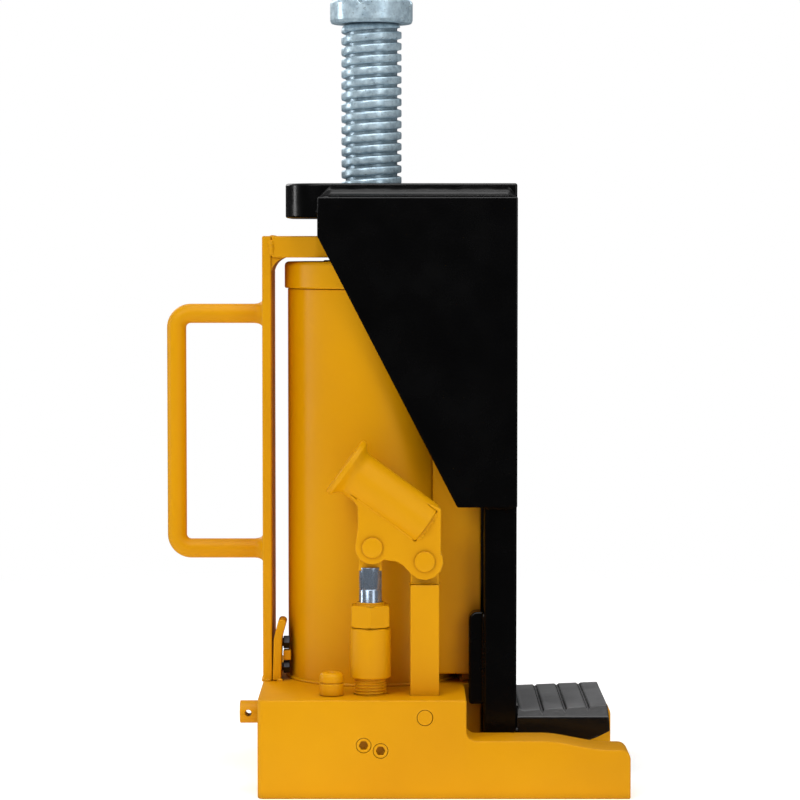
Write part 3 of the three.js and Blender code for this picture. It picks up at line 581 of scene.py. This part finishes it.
dressed = {
    "castYellow": {"front_guide": 1.0, "rear_bar": 0.9, "top_arm": 0.9, "rear_clip": 0.8, "clip_spacer": 0.6,
                   "lever_post": 0.9, "lever_plate_right": 0.7, "lever_plate_left": 0.7},
    "tubeYellow": {"release_spindle": 0.5, "reservoir_tube": 0.4, "reservoir_cap": 1.0,
                   "pump_gland": 0.5, "relief_plug": 0.4, "check_plug": 0.4, "post_pin": 0.5},
    "glossBlack": {"head_plate": 1.3, "gusset_right": 0.9, "gusset_left": 0.9, "back_bar": 1.2,
                   "guide_cheek_right": 1.2, "guide_cheek_left": 1.2},
    "toeBlack": {"toe": 0.9},
    "chrome": {"relief_ball": 0, "check_ball": 0, "ram": 0.6},
    "steel": {"pressure_cylinder": 0.3, "stop_washer": 0.3, "relief_spring": 0, "check_spring": 0},
    "darkSteel": {"clip_bolt_upper": 0.3, "clip_bolt_lower": 0.3, "stop_bolt": 0.3},
    "rubber": {"wiper_seal": 0.4, "piston_seal": 0.4, "pump_seal": 0.3},
    "bronze": {"cylinder_gasket": 0.2, "gland_bush": 0.3, "piston_ring": 0.3},
}
for finishName, nodes in dressed.items():
    for nodeName, width in nodes.items():
        dressNode(nodeName, finishName, width * mm)
print("nodes dressed")


screw = {"pitch": 7 * mm, "depth": 2.7 * mm, "rootShare": 0.22, "flankShare": 0.10, "crestRound": 0.35 * mm,
         "steps": 72, "head": 26 * mm, "headHeight": 16.6 * mm, "headRound": 2.2 * mm, "headSlope": 3.4 * mm,
         "slotTurn": -15, "slotHalf": 5 * mm, "slotDepth": 5.4 * mm}


def threadedRod(radius, depth, pitch, low, high, steps=72, share=None):
    # A helical ridge on a root cylinder, closed at both ends.
    root, flank = share or (screw["rootShare"], screw["flankShare"])
    lip = min(screw["crestRound"], depth / 4)
    crest = 1 - root - 2 * flank
    turn = [(radius - depth, 0), (radius - depth, root), (radius - lip, root + flank * 0.86),
            (radius - lip * 0.3, root + flank + crest * 0.07), (radius, root + flank + crest * 0.22),
            (radius, root + flank + crest * 0.78), (radius - lip * 0.3, root + flank + crest * 0.93),
            (radius - lip, root + flank * 1.14 + crest), (radius - depth, 1)]
    turns = int((high - low) / pitch) + 3
    mesh = bmesh.new()
    before = None
    for n in range(turns * steps + 1):
        angle = 2 * math.pi * n / steps
        start = low - 2 * pitch + pitch * n / steps
        row = []
        for r, share in turn:
            z = start + share * pitch
            if z <= low or z >= high:
                r = radius - depth
            fade = min(1, max(0, (z - low) / (0.6 * pitch)), max(0, (high - z) / (0.6 * pitch)))
            r = radius - depth + (r - radius + depth) * fade
            z = min(high, max(low, z))
            row.append(mesh.verts.new((r * math.cos(angle), r * math.sin(angle), z)))
        if before:
            for a, b, c, d in zip(before, before[1:], row[1:], row):
                mesh.faces.new((a, b, c, d))
        before = row
    bmesh.ops.remove_doubles(mesh, verts=mesh.verts, dist=2e-6)
    bmesh.ops.dissolve_degenerate(mesh, edges=mesh.edges, dist=1e-6)
    rims = [edge for edge in mesh.edges if edge.is_boundary]
    bmesh.ops.holes_fill(mesh, edges=rims, sides=0)
    return mesh


def combine(piece, tools, how="DIFFERENCE"):
    for mesh in tools:
        data = bpy.data.meshes.new("tool")
        bmesh.ops.recalc_face_normals(mesh, faces=mesh.faces)
        mesh.to_mesh(data)
        mesh.free()
        tool = bpy.data.objects.new("tool", data)
        bpy.context.scene.collection.objects.link(tool)
        step = piece.modifiers.new("step", "BOOLEAN")
        step.operation = how
        step.solver = "MANIFOLD"
        step.object = tool
        settle(piece)
        bpy.data.objects.remove(tool)
    piece.data.shade_smooth()
    piece.data.set_sharp_from_angle(angle=math.radians(30))


def settle(piece):
    # turns the piece's modifiers into plain mesh
    bpy.context.view_layer.update()
    shaped = bpy.data.meshes.new_from_object(piece.evaluated_get(bpy.context.evaluated_depsgraph_get()))
    piece.modifiers.clear()
    piece.data = shaped


def rodTool(axis, radius, low, high, a, b):
    # a plain round tool along X, Y or Z
    turns = {"X": Matrix.Rotation(math.radians(90), 4, "Y"), "Y": Matrix.Rotation(math.radians(-90), 4, "X"),
             "Z": Matrix.Identity(4)}
    moves = {"X": (0, a, b), "Y": (a, 0, b), "Z": (a, b, 0)}
    profile = [(0, low), (radius, low), (radius, high), (0, high)]
    return lathe(profile, 64, Matrix.Translation(moves[axis]) @ turns[axis])


base = {
    "rear": -68 * mm, "front": 58 * mm, "right": -107 * mm, "left": 85 * mm, "top": 60 * mm, "corner": 4 * mm,
    "tongueFront": 68.5 * mm, "tongueHalf": 38 * mm, "railInner": (-75 * mm, 62 * mm), "railFront": 157 * mm,
    "railTop": 35.3 * mm, "railTip": 30 * mm, "railSlope": (104 * mm, 144 * mm), "nose": 6 * mm,
    "fillet": 6 * mm, "edge": 1.1 * mm, "railRoot": 20 * mm,   # how far a rail reaches into the block
}
bores = {
    "cylinder": (36.3 * mm, 52 * mm),   # radius, floor
    "pump": (10.3 * mm, 45 * mm), "pumpPlace": (0, -80 * mm),
    "filler": (5.3 * mm, 51 * mm), "fillerPlace": (-23.7 * mm, -86 * mm),
    "post": (9.05 * mm, 8.3 * mm), "postFloor": 30 * mm, "postPlace": 33 * mm,
    "postPin": 4.95 * mm, "postPinEnd": -62 * mm, "postPinHeight": 49.4 * mm,
    "valve": 7.2 * mm, "valveEnd": -32 * mm, "valveHeight": 49 * mm,
    "plug": 4.7 * mm, "plugDepth": 13 * mm,
    "plugPlaces": ((-3.9 * mm, 32.7 * mm), (6.3 * mm, 29.4 * mm)),
    "past": 5 * mm,                     # how far each tool runs past the surface
}


def railOutline():
    front, top, tip, nose = base["front"], base["railTop"], base["railTip"], base["nose"]
    start, end = base["railSlope"]
    fillet, root = base["fillet"], base["front"] - base["railRoot"]
    points = [(root, 0), (root, top + fillet), (front, top + fillet)]
    points += [(front + fillet * (1 - math.cos(a)), top + fillet * (1 - math.sin(a)))
               for a in (math.pi / 2 * i / 8 for i in range(1, 9))]
    for i in range(17):
        share = i / 16
        ease = share * share * (3 - 2 * share)
        points.append((start + (end - start) * share, top + (tip - top) * ease))
    points += [(base["railFront"] - nose * (1 - math.sin(a)), tip - nose * (1 - math.cos(a)))
               for a in (math.pi / 2 * i / 8 for i in range(9))]
    return points + [(base["railFront"], 0)]


def softened(mesh, width, angle=38):
    # rounds a mesh's own sharp edges
    bmesh.ops.recalc_face_normals(mesh, faces=mesh.faces)
    sharp = [edge for edge in mesh.edges if edge.calc_face_angle(0) > math.radians(angle)]
    bmesh.ops.bevel(mesh, geom=sharp, offset=width, segments=3, profile=0.5, affect="EDGES")
    return mesh


def buildBase():
    rear, front, right, left, corner = (base[key] for key in ("rear", "front", "right", "left", "corner"))
    reach, half = base["tongueFront"], base["tongueHalf"]
    outline = rounded([(rear, right, corner), (front, right), (front, -half), (reach, -half), (reach, half),
                       (front, half), (front, left), (rear, left, corner)], 6)
    block = softened(slab(outline, 0, base["top"], "XY"), base["edge"])
    piece = finishPiece(block, "base_casting", "castYellow", "base", ["base_block"])
    inner = base["railInner"]
    sides = ((right, inner[0]), (inner[1], left))
    combine(piece, [softened(slab(railOutline(), low, high), base["edge"]) for low, high in sides], "UNION")
    pumpX, pumpY = bores["pumpPlace"]
    postX, (postHalf, postThick) = bores["postPlace"], bores["post"]
    above, outside = base["top"] + bores["past"], right - bores["past"]
    corners = [(postX + i * postHalf, pumpY + j * postThick) for i, j in ((-1, -1), (1, -1), (1, 1), (-1, 1))]
    tools = [
        rodTool("Z", *bores["cylinder"], above, 0, 0),
        rodTool("Z", *bores["pump"], above, pumpX, pumpY),
        slab(corners, bores["postFloor"], above, "XY"),
        rodTool("Z", *bores["filler"], above, *bores["fillerPlace"]),
        rodTool("Y", bores["postPin"], outside, bores["postPinEnd"], postX, bores["postPinHeight"]),
        rodTool("X", bores["valve"], rear - bores["past"], bores["valveEnd"], pumpY, bores["valveHeight"]),
    ]
    tools += [rodTool("Y", bores["plug"], outside, right + bores["plugDepth"], x, z)
              for x, z in bores["plugPlaces"]]
    combine(piece, tools)


buildBase()
print("base casting built")


def buildScrew():
    low, high = box("extension_screw")
    headLow = high.z - screw["headHeight"]
    shank = threadedRod(19 * mm, screw["depth"], screw["pitch"], low.z, headLow + 1 * mm, screw["steps"])
    finishPiece(shank, "screw_thread", "zinc", "screw", ["extension_screw"], angle=28)
    head, edge, slope = screw["head"], screw["headRound"], screw["headSlope"]
    profile = rounded([(0, headLow), (head - 0.8 * mm, headLow, 1 * mm), (head, headLow + 2 * mm, 1.6 * mm),
                       (head, high.z - slope, edge), (head - slope, high.z, 1 * mm), (0, high.z)], 6)
    piece = finishPiece(lathe(profile, 128), "screw_head", "zinc", "screw", angle=30)
    half, depth, reach = screw["slotHalf"], screw["slotDepth"], 1.5 * head
    cutters = []
    for quarter in (0, 90):
        rim = high.z + 0.1 * mm
        vee = slab([(-half, rim), (0, high.z - depth), (half, rim)], -reach, reach)
        bmesh.ops.rotate(vee, cent=(0, 0, 0), verts=vee.verts,
                         matrix=Matrix.Rotation(math.radians(screw["slotTurn"] + quarter), 3, "Z"))
        cutters.append(vee)
    combine(piece, cutters)
    addRounding(piece, 0.5 * mm, 32, 2)


buildScrew()
print("extension screw built")


grip = {"radius": 6.1 * mm, "bend": 9 * mm, "bendSteps": 14, "sides": 40,
        "flare": 3.4 * mm, "flareRun": 5 * mm}


def buildCarryHandle():
    low, high = box("carry_handle")
    radius, bend = grip["radius"], grip["bend"]
    reach = low.x + radius
    upper, lower = high.z - radius, low.z + radius
    y = (low.y + high.y) / 2
    route = [(high.x, y, upper)]
    for z, start in ((upper - bend, 90), (lower + bend, 180)):
        for i in range(grip["bendSteps"] + 1):
            angle = math.radians(start + 90 * i / grip["bendSteps"])
            route.append((reach + bend + bend * math.cos(angle), y, z + bend * math.sin(angle)))
    route.append((high.x, y, lower))
    finishPiece(sweep(route, circle(radius, grip["sides"])), "carry_grip", "tubeYellow", "base",
                ["carry_handle"], angle=50)
    flare, run = grip["flare"], grip["flareRun"]
    profile = [(0, 0), (radius + flare, 0), (radius + flare, 0.6 * mm)]
    profile += [(radius + 0.1 * mm + flare * (1 - math.sin(a)), 0.6 * mm + run * (1 - math.cos(a)))
                for a in (math.pi / 2 * i / 10 for i in range(11))] + [(0, run + 0.6 * mm)]
    for label, z in (("upper", upper), ("lower", lower)):
        turn = Matrix.Translation((high.x + 0.1 * mm, y, z)) @ Matrix.Rotation(math.radians(-90), 4, "Y")
        finishPiece(lathe(profile, 64, turn), f"grip_weld_{label}", "castYellow", "base", angle=60)


buildCarryHandle()


socket = {"outer": 14.3 * mm, "inner": 11.8 * mm, "lip": 19.2 * mm, "lipThick": 3.2 * mm, "flare": 4 * mm,
          "floor": 6 * mm, "end": (33.8 * mm, 163.4 * mm), "mouth": (-15.9 * mm, 199.7 * mm)}


def buildSocket():
    low, high = box("handle_socket")
    run = Vector((socket["mouth"][0] - socket["end"][0], 0, socket["mouth"][1] - socket["end"][1]))
    lean = math.atan2(run.x, run.z)
    length, outer, lip = run.length, socket["outer"], socket["lip"]
    lipLow = length - socket["lipThick"]
    profile = rounded([(0, 0), (outer, 0, 1.0 * mm), (outer, lipLow - socket["flare"], 5 * mm),
                       (lip, lipLow, 0.9 * mm), (lip, length, 1.2 * mm),
                       (socket["inner"], length, 1.2 * mm), (socket["inner"], socket["floor"], 1 * mm),
                       (0, socket["floor"])], 6)
    end = Vector((socket["end"][0], (low.y + high.y) / 2, socket["end"][1]))
    place = Matrix.Translation(end) @ Matrix.Rotation(lean, 4, "Y")
    finishPiece(lathe(profile, 128, place), "lever_socket", "castYellow", "lever", ["handle_socket"],
                angle=40)
    return run.normalized(), end


socketAxis, socketEnd = buildSocket()

pin = {"head": 6.3 * mm, "headThick": 2.2 * mm, "crown": 0.9 * mm}


def buildPin(nodeName, name, shank):
    low, high = box(nodeName)
    half = (high.y - low.y) / 2
    head, crown = pin["head"], pin["crown"]
    under = half - pin["headThick"]
    side = rounded([(0, half), (head * 0.62, half), (head, half - 0.35 * mm, crown), (head, under)], 5)
    side += [(shank, under)]
    profile = [(r, -z) for r, z in side] + [(r, z) for r, z in reversed(side)]
    place = Matrix.Translation((low + high) / 2) @ Matrix.Rotation(math.radians(90), 4, "X")
    finishPiece(lathe(profile, 64, place), name, "tubeYellow", "lever", [nodeName], angle=35)


rod = {"radius": 7 * mm, "ring": 124.4 * mm, "top": 137.8 * mm, "half": 4.3 * mm,
       "eyeX": 1.2 * mm, "eyeHeight": 150.5 * mm,
       "eye": 7.2 * mm, "slot": 4.35 * mm, "slotEnds": (-1.2 * mm, 3.4 * mm), "drop": 0.25 * mm}


def longEye(radius, height):
    # a hole's or an eye's outline, drawn out along X between the slot's two ends
    rear, front = (rod["eyeX"] + end for end in rod["slotEnds"])
    points = [(front + radius * math.cos(a), height + radius * math.sin(a))
              for a in (math.pi * (i / 20 - 0.5) for i in range(21))]
    return points + [(rear - radius * math.cos(a), height - radius * math.sin(a))
                     for a in (math.pi * (i / 20 - 0.5) for i in range(21))]


def buildPlunger():
    low, high = box("pump_plunger")
    radius, ring, y = rod["radius"], rod["ring"], (low.y + high.y) / 2
    top = rod["top"]
    profile = rounded([(0, low.z), (radius, low.z, 0.8 * mm), (radius, ring - 0.5 * mm),
                       (radius - 0.35 * mm, ring), (radius, ring + 0.5 * mm), (radius, top, 0.4 * mm),
                       (0, top)], 4)
    finishPiece(lathe(profile, 96, Matrix.Translation((0, y, 0))), "plunger_rod", "chrome", "plunger",
                ["pump_plunger"])
    half, tall = rod["half"], rod["eyeHeight"]
    neck = slab([(-radius, top - 2 * mm), (radius, top - 2 * mm), (radius, tall), (-radius, tall)],
                y - half, y + half)
    piece = finishPiece(neck, "plunger_eye", "tubeYellow", "plunger")
    combine(piece, [slab(longEye(rod["eye"], tall), y - half, y + half)], "UNION")
    combine(piece, [slab(longEye(rod["slot"], tall - rod["drop"]), y - 9 * mm, y + 9 * mm)])
    addRounding(piece, 0.4 * mm, 40, 2)


buildPlunger()
buildPin("pivot_pin", "lever_pivot", 5 * mm)
buildPin("plunger_pin", "plunger_pivot", 3.8 * mm)

pumpBody = {"foot": 10 * mm, "pitch": 1.9 * mm, "threadDepth": 0.9 * mm, "shoulder": 70.2 * mm,
            "body": 12.35 * mm, "bore": 7.3 * mm}


def buildPump():
    low, high = box("pump_body")
    centre = Matrix.Translation((*((low + high) / 2).xy, 0))
    shoulder, body = pumpBody["shoulder"], pumpBody["body"]
    foot = pumpBody["foot"] - 0.6 * mm
    profile = rounded([(pumpBody["bore"], shoulder - 1.5 * mm), (foot, shoulder - 1.5 * mm),
                       (foot, shoulder), (body, shoulder, 1.1 * mm),
                       (body, high.z - 1.0 * mm, 0.5 * mm), (body - 0.9 * mm, high.z - 0.2 * mm),
                       (pumpBody["bore"], high.z - 0.2 * mm), (pumpBody["bore"], shoulder - 1.5 * mm)], 5)
    finishPiece(lathe(profile, 96, centre), "pump_barrel", "tubeYellow", "base", ["pump_body"], angle=35)
    thread = threadedRod(pumpBody["foot"], pumpBody["threadDepth"], pumpBody["pitch"], low.z,
                         shoulder - 0.6 * mm, 64, (0.25, 0.25))
    bmesh.ops.transform(thread, matrix=centre, verts=thread.verts)
    finishPiece(thread, "pump_foot_thread", "tubeYellow", "base", angle=40)


buildPump()

filler = {"groove": 0.8 * mm, "dome": 3.2 * mm}


def buildFillerPlug():
    low, high = box("filler_plug")
    centre = (low + high) / 2
    radius = (high.x - low.x) / 2
    seam, flange, groove = high.z - 6.8 * mm, high.z - 13.9 * mm, radius - filler["groove"]
    profile = rounded([(0, low.z), (5 * mm, low.z, 0.6 * mm), (5 * mm, flange),
                       (radius, flange, 0.5 * mm), (radius, seam, 0.5 * mm),
                       (groove, seam + 0.2 * mm, 0.1 * mm), (groove, seam + 0.7 * mm, 0.1 * mm),
                       (radius, seam + 0.9 * mm, 0.5 * mm),
                       (radius, high.z, filler["dome"]), (3 * mm, high.z, 0.6 * mm),
                       (2.6 * mm, high.z - 0.9 * mm), (0, high.z - 0.9 * mm)], 6)
    place = Matrix.Translation((centre.x, centre.y, 0))
    finishPiece(lathe(profile, 72, place), "filler_cap", "tubeYellow", "base", ["filler_plug"], angle=35)


buildFillerPlug()
print("pump, lever and fittings built")


def cornerFillet(name, corner, reach, low, high, body, finishName, signs=(1, -1), steps=10):
    # A hollow weld fillet in an inner corner of the XZ plane, between two places along Y.
    x, z = corner
    points = [(x, z)]
    for i in range(steps + 1):
        a = math.pi / 2 * i / steps
        points.append((x + signs[0] * reach * (1 - math.sin(a)), z + signs[1] * reach * (1 - math.cos(a))))
    return finishPiece(slab(points, low, high), name, finishName, body, angle=40)


def buildFrameWelds():
    barLow, barHigh = box("rear_bar")
    armLow, armHigh = box("top_arm")
    half = barHigh.y
    joint = armLow.x - 0.15 * mm
    cornerFillet("arm_fillet", (barHigh.x - 0.2 * mm, armLow.z + 0.2 * mm), 11 * mm,
                 -half + 1.5 * mm, half - 1.5 * mm, "base", "castYellow")
    for label, y in (("right", -half), ("left", half)):
        inward = 1.2 * mm if y < 0 else -1.2 * mm
        route = [(joint - 0.4 * mm, y + inward, armHigh.z - 2.4 * mm),
                 (joint + 0.3 * mm, y + inward, armLow.z + 1 * mm)]
        weldBead(f"arm_corner_weld_{label}", route, 2.6 * mm, "castYellow", "base")
        foot = [(barLow.x + 1 * mm, y + inward, barLow.z), (barHigh.x - 0.5 * mm, y + inward, barLow.z)]
        weldBead(f"bar_foot_weld_{label}", foot, 2.2 * mm, "castYellow", "base")
    over = half - 2.5 * mm
    weldBead("arm_top_weld", [(joint, y, armHigh.z - 2.1 * mm) for y in (-over, over)],
             2.5 * mm, "castYellow", "base")
    behind = half - 2 * mm
    weldBead("bar_foot_weld_rear", [(barLow.x + 0.6 * mm, y, barLow.z) for y in (-behind, behind)],
             1.6 * mm, "castYellow", "base")

    tubeLow, tubeHigh = box("reservoir_tube")
    tubeRadius = (tubeHigh.x - tubeLow.x) / 2
    weldBead("tube_foot_weld", ringRoute((0, 0, tubeLow.z + 0.3 * mm), tubeRadius + 0.2 * mm),
             1.3 * mm, "castYellow", "base", closed=True)

    guideLow, guideHigh = box("front_guide")
    for label, y in (("right", guideLow.y), ("left", guideHigh.y)):
        inward = 1 * mm if y < 0 else -1 * mm
        route = [(guideHigh.x - back, y + inward, armLow.z) for back in (10 * mm, 1.5 * mm)]
        weldBead(f"guide_top_weld_{label}", route, 2.2 * mm, "castYellow", "base")
    footHalf = guideHigh.y - 10 * mm
    weldBead("guide_foot_weld", [(guideHigh.x - 11.8 * mm, -footHalf, guideLow.z + 0.4 * mm),
                                 (guideHigh.x - 11.8 * mm, footHalf, guideLow.z + 0.4 * mm)],
             2.0 * mm, "castYellow", "base")
    clipLow, clipHigh = box("rear_clip")
    weldBead("clip_foot_weld", [(clipLow.x + 2.6 * mm, clipLow.y + 0.6 * mm, clipLow.z),
                                (clipLow.x + 6.4 * mm, clipLow.y + 0.6 * mm, clipLow.z)],
             1.5 * mm, "castYellow", "base")


buildFrameWelds()


headWeld = {"steps": 90, "arc": 8, "wave": 0.7 * mm, "inset": 0.9 * mm, "drop": 2.2 * mm, "lap": 0.35 * mm}


def buildHeadWeld(name, start, end, inner, outer, low, high):
    # a broad hollow fillet, a little wavy, from the head plate's side down to the gusset's top edge
    mesh = bmesh.new()
    rings = []
    side = 1 if outer > inner else -1
    for n in range(headWeld["steps"] + 1):
        share = n / headWeld["steps"]
        x = start + (end - start) * share
        wave = -side * headWeld["wave"] * (0.6 * math.sin(share * 23 + 1.3) + 0.4 * math.sin(share * 61))
        taper = min(1, share * 18, (1 - share) * 25)
        reach = (abs(outer - inner) - headWeld["inset"]) * taper
        top = low + (high - headWeld["drop"] - low + wave) * taper
        lap = inner - side * headWeld["lap"]
        ring = [(x, lap, low - 0.4 * mm), (x, inner + side * reach, low - 0.4 * mm)]
        for i in range(headWeld["arc"] + 1):
            a = math.pi / 2 * i / headWeld["arc"]
            ring.append((x, inner + side * reach * (1 - 0.86 * math.sin(a)),
                         low + 0.5 * mm * taper + (top - low) * (1 - math.cos(a))))
        ring.append((x, lap, top))
        rings.append([mesh.verts.new(place) for place in ring])
    for one, two in zip(rings, rings[1:]):
        for i in range(len(one)):
            j = (i + 1) % len(one)
            mesh.faces.new([one[i], one[j], two[j], two[i]])
    mesh.faces.new(list(reversed(rings[0])))
    mesh.faces.new(rings[-1])
    finishPiece(mesh, name, "glossBlack", "carriage", angle=50)


def buildCarriageWelds():
    plateLow, plateHigh = box("head_plate")
    for label, nodeName, side in (("right", "gusset_right", -1), ("left", "gusset_left", 1)):
        low, high = box(nodeName)
        outer = low.y if side < 0 else high.y
        inner = high.y if side < 0 else low.y
        buildHeadWeld(f"head_weld_{label}", low.x + 1.2 * mm, high.x - 0.4 * mm, inner, outer,
                      high.z, plateHigh.z)
        tab = [(low.x + 1.4 * mm, inner + side * 1 * mm, high.z - 6 * mm),
               (low.x + 1.4 * mm, inner + side * 1 * mm, plateLow.z + 1 * mm)]
        weldBead(f"tab_weld_{label}", tab, 2.8 * mm, "glossBlack", "carriage")
        y = inner - side * 0.2 * mm
        foot = [(high.x - 19 * mm, y, low.z), (high.x - 1.5 * mm, y, low.z)]
        weldBead(f"gusset_foot_weld_{label}", foot, 2.4 * mm, "glossBlack", "carriage")
        y = inner - side * 0.4 * mm
        under = [(low.x + 6 * mm, y, plateLow.z), (high.x - 21 * mm, y, plateLow.z)]
        weldBead(f"under_weld_{label}", under, 2.6 * mm, "glossBlack", "carriage")

    backLow, backHigh = box("back_bar")
    toeLow, toeHigh = box("toe")
    for label, side in (("right", -1), ("left", 1)):
        y = side * (abs(toeLow.y) - 0.9 * mm)
        root = [(backHigh.x + 0.4 * mm, y, z) for z in (toeLow.z + 3 * mm, toeHigh.z - 15 * mm)]
        weldBead(f"toe_weld_{label}", root, 1.6 * mm, "glossBlack", "carriage")
        cheekLow, cheekHigh = box(f"guide_cheek_{label}")
        y = side * (abs(cheekHigh.y if side > 0 else cheekLow.y) + 0.2 * mm)
        edge = [(backLow.x, y, z) for z in (cheekLow.z + 1 * mm, cheekHigh.z - 1 * mm)]
        weldBead(f"cheek_weld_{label}", edge, 1.8 * mm, "glossBlack", "carriage")
    front = [(backHigh.x - 1.4 * mm, y, backHigh.z) for y in (backLow.y + 2 * mm, backHigh.y - 2 * mm)]
    weldBead("head_front_weld", front, 1.6 * mm, "glossBlack", "carriage")


buildCarriageWelds()


def buildLeverWelds():
    # beads along the socket's round side and round its inner end, on the outside of both plates
    normal = Vector((-socketAxis.z, 0, socketAxis.x))
    if normal.z > 0:
        normal = -normal
    for label, nodeName in (("right", "lever_plate_right"), ("left", "lever_plate_left")):
        low, high = box(nodeName)
        outer, inward = (low.y, 1) if label == "right" else (high.y, -1)
        drop = math.sqrt(max(0, socket["outer"] ** 2 - (outer - socketEnd.y) ** 2))
        start = socketEnd + normal * drop + socketAxis * (1.5 * mm)
        end = socketEnd + normal * drop + socketAxis * (44 * mm)
        along = [(p.x, outer + inward * 0.6 * mm, p.z) for p in (start, end)]
        weldBead(f"socket_weld_{label}", along, 1.1 * mm, "castYellow", "lever")
        top = socketEnd - normal * (drop - 1 * mm) - socketAxis * (0.6 * mm)
        bottom = socketEnd + normal * (drop - 1 * mm) - socketAxis * (0.6 * mm)
        across = [(p.x, outer + inward * 1.1 * mm, p.z) for p in (top, bottom)]
        weldBead(f"socket_end_weld_{label}", across, 2.2 * mm, "castYellow", "lever")


buildLeverWelds()
print("welds laid")

buildStudio()
